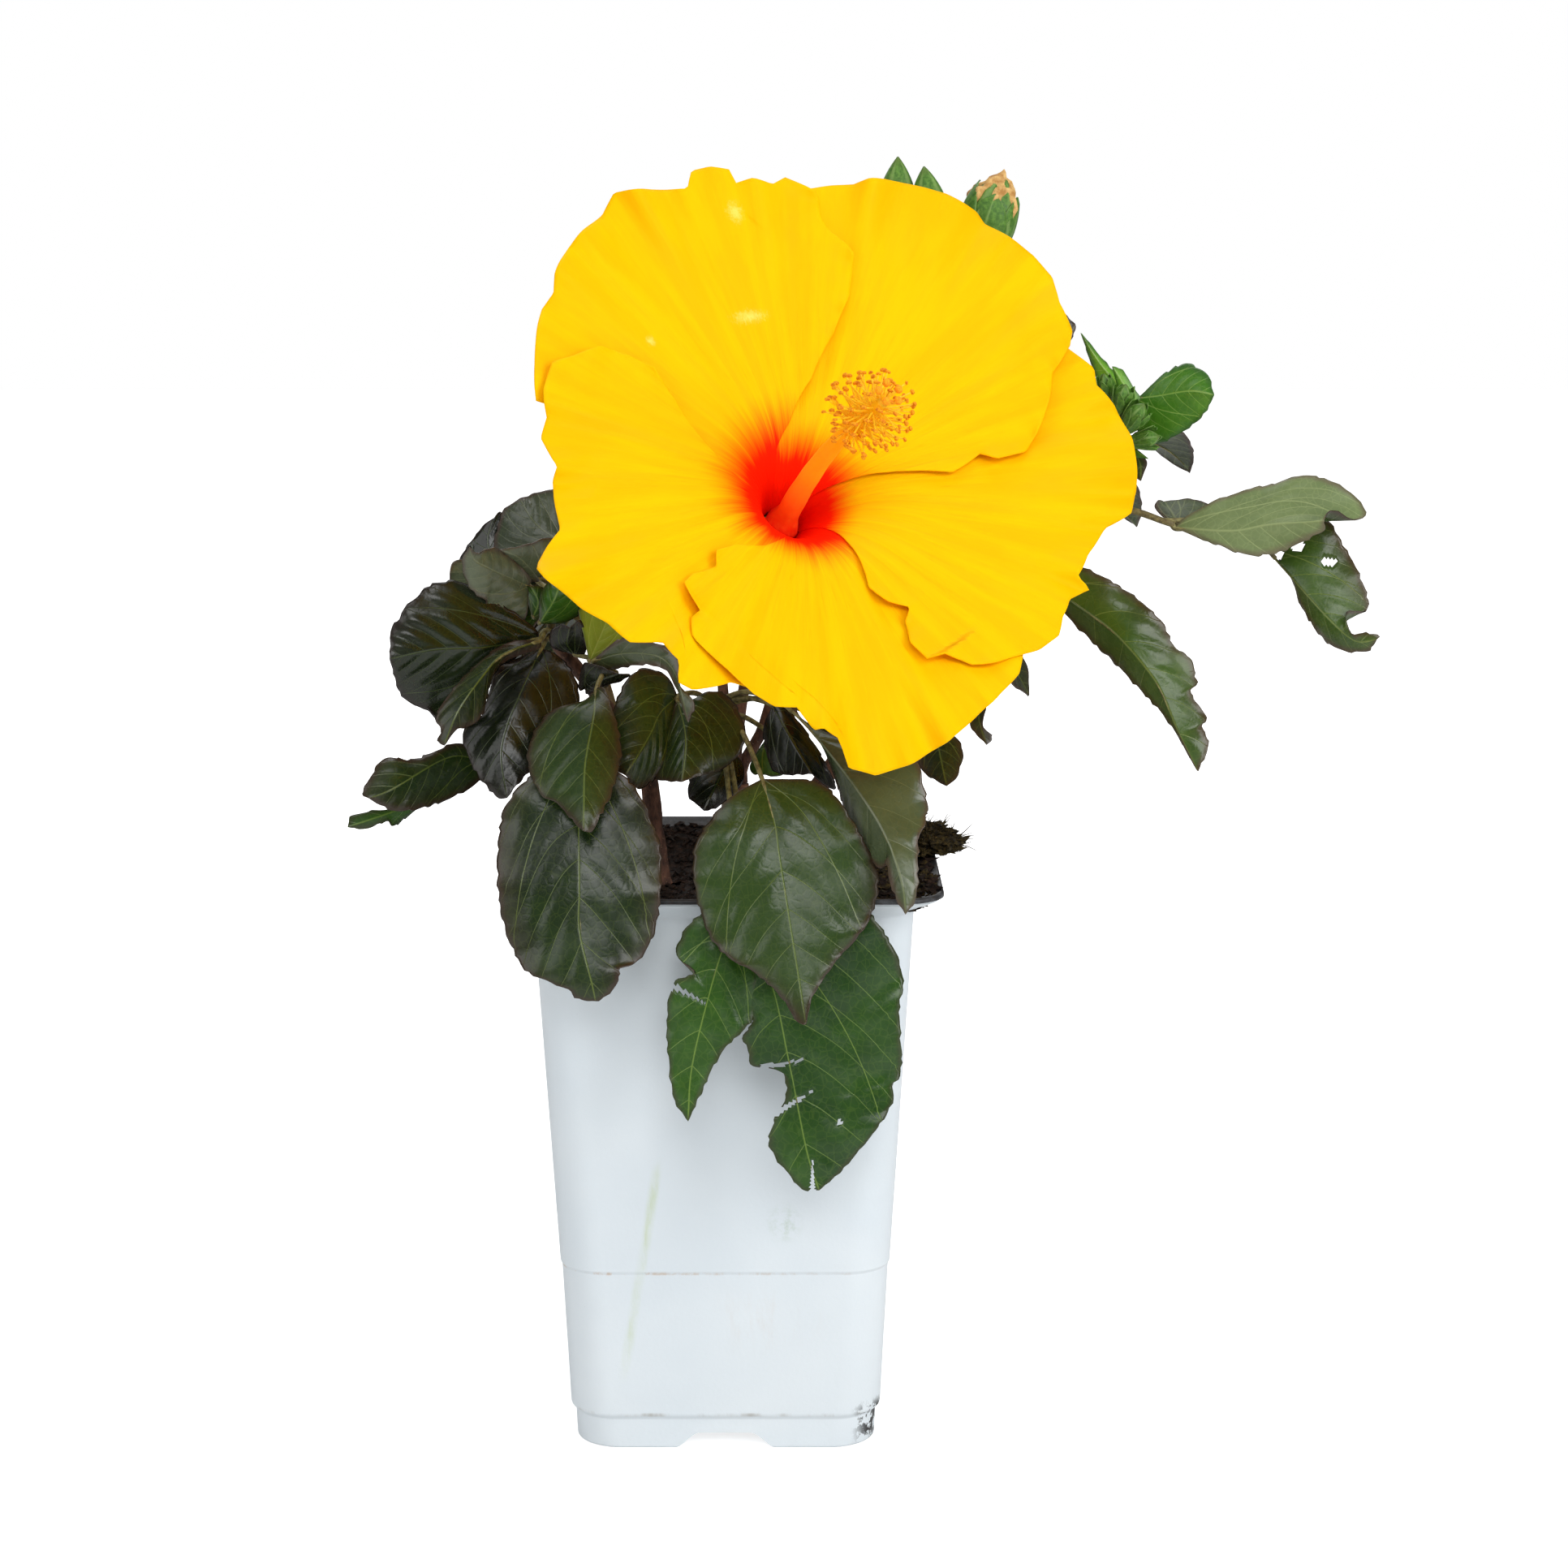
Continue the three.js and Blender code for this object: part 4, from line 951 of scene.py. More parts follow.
add_stem("stem_left", (-20, -2), [(-23, -1, 190), (-25, -2, 207), (-40, -9, 234), (-52, -15, 251)], 3.4, 2.1)
add_stem("stem_centre", (0, 2), [(1, 1, 186), (3, 0, 196), tuple(FORK)], 3.9, 4.4)
add_stem("stem_right", (18, 10), [(22, 9, 188), (34, 9, 208), (60, 6, 243), (86, 3, 267)], 3.4, 1.9)
add_bough("bough_bloom", [*on_fork(-90), (5, -4, 230), (8, -3, 246)], 1.9, 1.8)
add_bough("bough_buds", [*on_fork(30), (12, 3, 222), (24, 10, 270), (47, 15, 330)], 1.9, 1.6)
add_bough("bough_back", [*on_fork(150), (-2, 24, 240), (-4, 38, 256)], 1.9, 1.5)
add_side_bough("bough_left_inner", "stem_left", 0.8, [(-37, -19, 239), (-35, -25, 242)], 1.4, 1.2)
add_side_bough("bough_left_lower", "stem_left", 0.6, [(-38, -14, 222), (-44, -20, 224)], 1.5, 1.3)
add_side_bough("bough_back_left", "stem_left", 0.35, [(-35, 12, 222), (-42, 24, 244)], 1.7, 1.4)
add_side_bough("bough_front", "bough_bloom", 0.35, [(1, -14, 224), (-1, -19, 228)], 1.4, 1.2)
add_side_bough("bough_right_lower", "stem_right", 0.68, [(62, -8, 243), (64, -14, 245)], 1.4, 1.2)
add_side_bough("bough_right_top", "stem_right", 0.9, [(90, 10, 276), (98, 11, 287)], 1.4, 1.2)
add_side_bough("bough_back_right", "stem_right", 0.45, [(46, 24, 228), (54, 32, 252)], 1.7, 1.4)

# ---------------------------------------------------------------- leaves

# An ovate leaf's half width, as a share of the most, at stations from its base to its tip.
STATIONS = (0, 0.03, 0.1, 0.2, 0.33, 0.5, 0.65, 0.8, 0.9, 0.96, 1)
OVATE = (0.05, 0.4, 0.72, 0.93, 1.0, 0.95, 0.8, 0.55, 0.32, 0.16, 0.015)
LEAF_THICKNESS, SEPAL_THICKNESS, PETAL_THICKNESS = 0.34, 0.25, 0.3


def soft_interp(s, xs, ys):
    """Cubic interpolation through the outline's stations, without overshoot below zero."""
    xs, ys = np.array(xs, float), np.array(ys, float)
    slopes = np.gradient(ys, xs)
    i = np.clip(np.searchsorted(xs, s, side="right") - 1, 0, len(xs) - 2)
    h = xs[i + 1] - xs[i]
    t = (s - xs[i]) / h
    a = (1 + 2 * t) * (1 - t) ** 2 * ys[i] + t * (1 - t) ** 2 * h * slopes[i]
    b = t * t * (3 - 2 * t) * ys[i + 1] + t * t * (t - 1) * h * slopes[i + 1]
    return np.maximum(a + b, 0.012)


def leaf_places(rows, half_columns, along_power, across_power):
    """Places over a leaf, 0 to 1 from base to tip and -1 to 1 across, closer together near the midrib."""
    s = np.linspace(0, 1, rows + 1) ** along_power
    t = np.linspace(-1, 1, 2 * half_columns + 1)
    return s, *np.meshgrid(s, np.sign(t) * np.abs(t) ** across_power, indexing="ij")


def teeth(phase, rise):
    """A saw line, 0 to 1: each tooth climbs for the share rise of its pitch and falls for the rest."""
    saw = np.mod(phase, 1)
    return np.where(saw < rise, saw / rise, (1 - saw) / (1 - rise))


def vein_values(U, V, length, gap, phase, margin):
    """What the veins and the margin are drawn from, and how far each point lies from the nearest vein."""
    from_midrib = np.abs(V)
    basal = from_midrib - 0.62 * U * (1 - 0.42 * np.minimum(1, U / (0.8 * length)))
    side = (0.5 - np.abs(np.mod(phase, 1) - 0.5)) * gap
    nearest = np.minimum(np.minimum(side, np.abs(basal)), from_midrib * 0.8)
    values = dict(vein_phase=phase, vein_gap=np.full_like(U, gap), from_midrib=from_midrib, from_basal=basal,
                  from_margin=margin)
    return values, nearest


def blade_frame(leaf):
    """Where a plain leaf starts, the ways along it, across it and up from its face, and its length."""
    base, face = leaf["base"], leaf["face"]
    length = np.linalg.norm(leaf["tip"] - base)
    along = (leaf["tip"] - base) / length
    up = unit(face - face.dot(along) * along)
    return base, along, np.cross(along, up), up, length


def blade_grid(leaf, rows, half_columns, rng):
    """An ovate blade's surface points, with the values that its veins and margin are drawn from."""
    base, along, across, up, length = blade_frame(leaf)
    s, S, T = leaf_places(rows, half_columns, 0.94, 0.9)
    reach = leaf["width"] / 2
    half = reach * soft_interp(s, STATIONS, OVATE)[:, None]
    notch = teeth(S * length / 5.2 + rng.uniform(0, 1) + 0.1 * np.sign(T), 0.82)
    depth = 0.5 * smooth(S, 0.12, 0.4) * (1 - 0.6 * smooth(S, 0.93, 1.0))
    half = np.maximum(half + (notch - 0.6) * depth * smooth(np.abs(T), 0.75, 1.0), 0.05)
    U, V = S * length, T * half
    gap = max(5.0, length / 8.5)
    slant = 0.85 * np.abs(V) + 0.35 * V * V / max(6.0, reach)
    values, nearest = vein_values(U, V, length, gap, (U - slant) / gap + 0.5, half - np.abs(V))
    quilt = 0.45 * (1 - np.exp(-((nearest / 2.1) ** 2))) * smooth(1 - np.abs(T), 0, 0.2)
    fold = math.radians(leaf.get("fold", 10))
    arch = leaf.get("arch", 0.08) * length * 4 * S * (1 - S)
    wave = 0.035 * reach * np.abs(T) ** 2 * smooth(S, 0.03, 0.25) * (
        np.sin(5 * math.pi * S + rng.uniform(0, 6) + 1.7 * np.sign(T)))
    wave = wave + 0.012 * length * np.sin(3.1 * S + 2.2 * T + rng.uniform(0, 6)) * smooth(S, 0.1, 0.5)
    lift = np.abs(V) * np.sin(fold) + wave + quilt
    side = V * np.cos(fold)
    grid = base + along * U[..., None] + across * side[..., None] + up * (lift + arch)[..., None]
    return grid, values, np.ones((rows, 2 * half_columns), bool)


def near_segment(points, a, b):
    """How far points lie from a line between two points, in the x-z plane."""
    a, b = np.array(a, float), np.array(b, float)
    run = b - a
    share = np.clip(((points - a) @ run) / run.dot(run), 0, 1)
    return np.linalg.norm(points - a - share[..., None] * run, axis=-1), share


def rail_grid(leaf, rows, half_columns, rng):
    """A blade stretched between its own midrib and its two margins, each given from base to tip."""
    mid = Curve(leaf["mid"])
    s, S, T = leaf_places(rows, half_columns, 1, 0.92)
    centre = np.array([mid.at(v) for v in s])
    foot, end = leaf["mid"][0], leaf["mid"][-1]
    offsets, halves, lengths = [], [], []
    for side, lean in zip(("left", "right"), leaf.get("lean", (0.2, 0.2))):
        line = Curve([(x, 0, z) for x, z in [(foot[0], foot[2]), *leaf[side], (end[0], end[2])]])
        offset = np.array([line.at(v) for v in s]) - centre
        offset[:, 1] = 0
        half = np.linalg.norm(offset, axis=1)
        offset[:, 1] = lean * half * (1 - 0.35 * np.minimum(1, half / 40))
        offsets.append(offset)
        halves.append(half)
        lengths.append(line.length)
    left = T < 0
    half = np.where(left, halves[0][:, None], halves[1][:, None])
    offset = np.where(left[..., None], offsets[0][:, None, :], offsets[1][:, None, :])
    phase = [rng.uniform(0, 1) for _ in range(6)]
    along = S * np.where(left, lengths[0], lengths[1])
    uneven = 1.3 * np.sin(along * 0.31 + 6 * phase[0]) + 0.8 * np.sin(along * 0.83 + 6 * phase[1])
    notch = teeth((along + uneven) / 5.4 + phase[2] + 0.3 * left, 0.8)
    depth = 0.75 * smooth(along, 4, 14)
    grow = 1 + (notch - 0.55) * depth * smooth(np.abs(T), 0.7, 1.0) / np.maximum(half, 2.5)
    length = mid.length
    U, V = S * length, T * half
    gap = max(4.6, length / 6.5)
    reach = max(4.0, max(halves[0].max(), halves[1].max()))
    slant = 0.85 * np.abs(V) + 0.45 * V * V / max(6.0, reach)
    wander = 0.06 * length * np.sin(U * 0.11 + V * 0.13 + 6 * phase[3])
    vein_phase = (U - slant + 0.3 * wander) / gap + 0.5 + phase[4]
    values, nearest = vein_values(U, V, length, gap, vein_phase, half * (1 - np.abs(T)))
    quilt = leaf.get("quilt", 0.4)
    lift = 0.75 * quilt * (1 - np.exp(-((nearest / 2.6) ** 2))) * smooth(1 - np.abs(T), 0, 0.3)
    crinkle = np.sin(U * 0.16 + V * 0.11 + 6 * phase[5]) * np.sin(V * 0.19 - U * 0.07 + 6 * phase[0])
    lift = lift + (0.1 + 0.35 * quilt) * crinkle * np.minimum(1, half / 8)
    edge = np.abs(T) ** 3 * smooth(S, 0.03, 0.2) * np.minimum(1, half / 8)
    waves = np.sin(along * 0.21 + 6 * phase[1]) + 0.5 * np.sin(along * 0.47 + 6 * phase[2])
    lift = lift + 0.9 * edge * waves - 0.07 * half * T * T
    grid = centre[:, None, :] + offset * (np.abs(T) * grow)[..., None]
    normal = np.cross(np.gradient(grid, axis=1), np.gradient(grid, axis=0))
    normal = unit(normal.reshape(-1, 3).sum(0))
    grid = grid + normal * lift[..., None]
    keep = np.ones((rows, 2 * half_columns), bool)
    flat = (grid[:-1, :-1] + grid[1:, 1:])[..., [0, 2]] / 2
    for a, b, wide in leaf.get("slits", ()):
        far, share = near_segment(flat, a, b)
        keep &= far > wide * (1 - 0.85 * share)
    for x, z, rx, rz in leaf.get("holes", ()):
        a, b = (flat[..., 0] - x) / rx, (flat[..., 1] - z) / rz
        keep &= a * a + b * b > 1 + 0.2 * np.sin(5 * np.arctan2(b, a) + x)
    return grid, values, keep


def add_leaf(mesh, leaf, rng):
    """Adds a leaf's blade to a mesh and gives the grid of its surface."""
    if "mid" in leaf:
        size = Curve(leaf["mid"]).length
        grid, values, keep = rail_grid(leaf, int(14 + size * 1.1), int(7 + size * 0.28), rng)
    else:
        grid, values, keep = blade_grid(leaf, 34, 10, rng)
    kind = leaf.get("kind", "top")
    under = LEAF_SLOT[leaf.get("back", "under" if kind == "bright" else "under_dark")]
    skins = (LEAF_SLOT[kind], under)
    if leaf.get("flip"):
        skins = skins[::-1]
    verts, faces, slots = sheet(grid, LEAF_THICKNESS, keep, *skins)
    mesh.add(verts, faces, slots, tint=rng.uniform(0, 1), **doubled(values))
    return grid


def midrib_line(grid):
    """The middle of the blade, and the way its upper face looks, at a few stations."""
    rows, middle = grid.shape[0], grid.shape[1] // 2
    stations = [int(k * (rows - 1)) for k in (0.0, 0.08, 0.2, 0.4, 0.6, 0.8, 0.93)]
    points, ups = [], []
    for i in stations:
        j = min(i + 1, rows - 1)
        across = grid[j, middle + 2] - grid[j, middle - 2]
        forward = grid[min(j + 1, rows - 1), middle] - grid[j - 1, middle]
        points.append(grid[i, middle])
        ups.append(unit(np.cross(across, forward)))
    return points, ups


def petiole_points(leaf, twig, grid):
    """The stalk from the twig to just under the blade's foot."""
    points, ups = midrib_line(grid)
    start = twig.at(leaf["start"])
    end = points[0]
    span = np.linalg.norm(end - start)
    middle = (start + end) / 2 + vec(0, 0, 0.12 * span)
    return [start, middle, end - ups[1] * 0.3, points[1] - ups[1] * 0.5]


def midrib_points(grid):
    """The midrib, raised under the blade."""
    points, ups = midrib_line(grid)
    return [p - up * 0.3 for p, up in zip(points, ups)]


TWIG_SKIN = dotted("twig", (84, 72, 46), (128, 118, 74), 0.55, 420, 0.5, 0.0003)
STALK = dotted("leaf_stalk", (92, 84, 50), (140, 134, 86), 0.5, 500, 0.4, 0.0003)


def ribbed_egg(item, ribs=5, depth=0.06, rows=30, sides=40):
    """A closed bud: pointed, ribbed, with its sepals' edges as shallow seams."""
    base, tip = item["base"], item["tip"]
    axis = tip - base
    length = np.linalg.norm(axis)
    axis /= length
    side = unit(np.cross(axis, vec(0.2, 1, 0.1)))
    other = np.cross(axis, side)
    heights = (0, 0.06, 0.3, 0.5, 0.78, 0.93, 1.0)
    radii = (0.35, 0.62, 0.95, 1.0, 0.7, 0.3, 0.04)
    verts, share, rib = [], [], []
    for i in range(rows + 1):
        h = i / rows
        r = float(soft_interp(np.array([h]), heights, radii)[0]) * item["width"] / 2
        for k in range(sides):
            a = 2 * math.pi * k / sides
            wave = abs(math.cos(ribs * a / 2)) ** 3
            rr = r * (1 - depth + depth * 2 * wave * math.sin(math.pi * min(1, h + 0.05)))
            verts.append(base + axis * h * length + rr * (side * math.cos(a) + other * math.sin(a)))
            share.append(h)
            rib.append(wave)
    faces = ring_faces(rows, sides) + end_faces(rows, sides, len(verts), len(verts) + 1)
    return [*verts, base, tip], faces, dict(share=[*share, 0, 1], ribs=[*rib, 0, 0])


def crumpled(point, pitch, most):
    """A point pushed aside by noise, one sample for each axis."""
    return point + most * vec(*(noise.noise(Vector(point * pitch + shift)) for shift in (0, 40, 80)))


def sepal_shells(item, count=5, open_by=0.0):
    """The pointed sepals round a bud, each over the edge of the next; open_by spreads them into a whorl."""
    base, tip = item["base"], item["tip"]
    length = np.linalg.norm(tip - base)
    axis = (tip - base) / length
    side = unit(np.cross(axis, vec(0.2, 1, 0.1)))
    other = np.cross(axis, side)
    s, t = np.meshgrid(np.linspace(0, 1, 15), np.linspace(-1, 1, 11), indexing="ij")
    parts = []
    for k in range(count):
        reach = item.get("sepals", 0.92) * (0.94 + 0.06 * math.cos(2.4 * k))
        round_radius = np.sin(math.pi * (0.14 + 0.74 * s * reach)) ** 0.8 * item["width"] / 2
        flared = item["width"] / 2 * (0.3 + 1.3 * s**1.3)
        r = lerp(round_radius, flared, open_by) + 0.3 + 0.25 * t + 0.2 * (1 - np.abs(t)) ** 3
        half = math.radians(270 / count) * (1 - s**3.6) ** 0.8 * (1 - 0.55 * open_by) + 0.004
        a = 2 * math.pi * (k + item.get("turn", 0.0)) / count + t * half
        up = s * reach * length
        ways = ((axis, up), (side, r * np.cos(a)), (other, r * np.sin(a)))
        grid = base + sum(way * far[..., None] for way, far in ways)
        verts, faces, _ = sheet(grid, SEPAL_THICKNESS)
        ribs = np.maximum(1 - np.abs(t) * 5, 0.9 * smooth(np.abs(t), 0.75, 1.0))
        parts.append((verts, faces, doubled(dict(share=0.8 * s, ribs=ribs))))
    return parts


def add_shoot(name, on, twig, leaves, buds=(), radius=(1.5, 1.0), seed=1):
    """A twig on a bough's tip with its leaves and buds, each on a stalk of its own."""
    rng = random.Random(seed)
    line = Curve([*beyond_tip(on), *twig])
    blades, stalks, greens = Mesh(), Mesh(), Mesh()
    stalks.add_tube(line, taper(*radius), 10, 26, bark_relief(seed, 0.06))
    for leaf in leaves:
        grid = add_leaf(blades, leaf, rng)
        stalks.add_tube(petiole_points(leaf, line, grid), taper(0.95, 0.7), 8, 14, slot=1)
        size = min(0.55, np.linalg.norm(grid[0, 0] - grid[-1, 0]) / 90)
        stalks.add_tube(midrib_points(grid), taper(size, 0.12), 6, 16, slot=1)
    for item in buds:
        verts, faces, values = ribbed_egg(item)
        greens.add(verts, faces, 0, **values)
        if item.get("dry"):
            foot, tip = (lerp(item["base"], item["tip"], share) for share in (0.4, 1.02))
            old = bud(0, foot, tip, 0.82 * item["width"])
            verts, faces, values = ribbed_egg(old, ribs=7, depth=0.22)
            greens.add([crumpled(v, 0.35, 1.1) for v in verts], faces, 1, **values)
        for verts, faces, values in sepal_shells(item, item.get("count", 5), item.get("open", 0.0)):
            greens.add(verts, faces, 0, **values)
        base, start = item["base"], line.at(item["start"])
        inside = lerp(base, item["tip"], 0.15)
        middle = (start + base) / 2 - vec(0, 0, 0.1 * np.linalg.norm(base - start))
        stalks.add_tube([start, middle, base, inside], taper(0.8, 1.2), 8, 14, slot=1)
    short = name.replace("foliage_", "")
    blades.build("leaves_" + short, LEAF_MATERIALS, "leaf", [name])
    stalks.build("twigs_" + short, [TWIG_SKIN, STALK], "leaf")
    if buds:
        greens.build("buds_" + short, [BUD, DRY_PETAL], "leaf")


def leaf(start, mid, left, right, kind="top", **more):
    """A leaf of the photo, stretched from its midrib (x, y, z) to two margins (x, z); start is its place on
    the twig, from 0 at the foot to 1 at the tip."""
    return dict(start=start, mid=mid, left=left, right=right, kind=kind, **more)


def blade(start, base, tip, width, face, **more):
    """A plain ovate leaf from base to tip, turned to face one way."""
    return dict(start=start, base=vec(*base), tip=vec(*tip), width=width, face=vec(*face), **more)


def bud(start, base, tip, width, **more):
    """A bud, or a whorl of bracts, with count sepals that open spreads; dry adds an old flower inside."""
    return dict(start=start, base=vec(*base), tip=vec(*tip), width=width, **more)


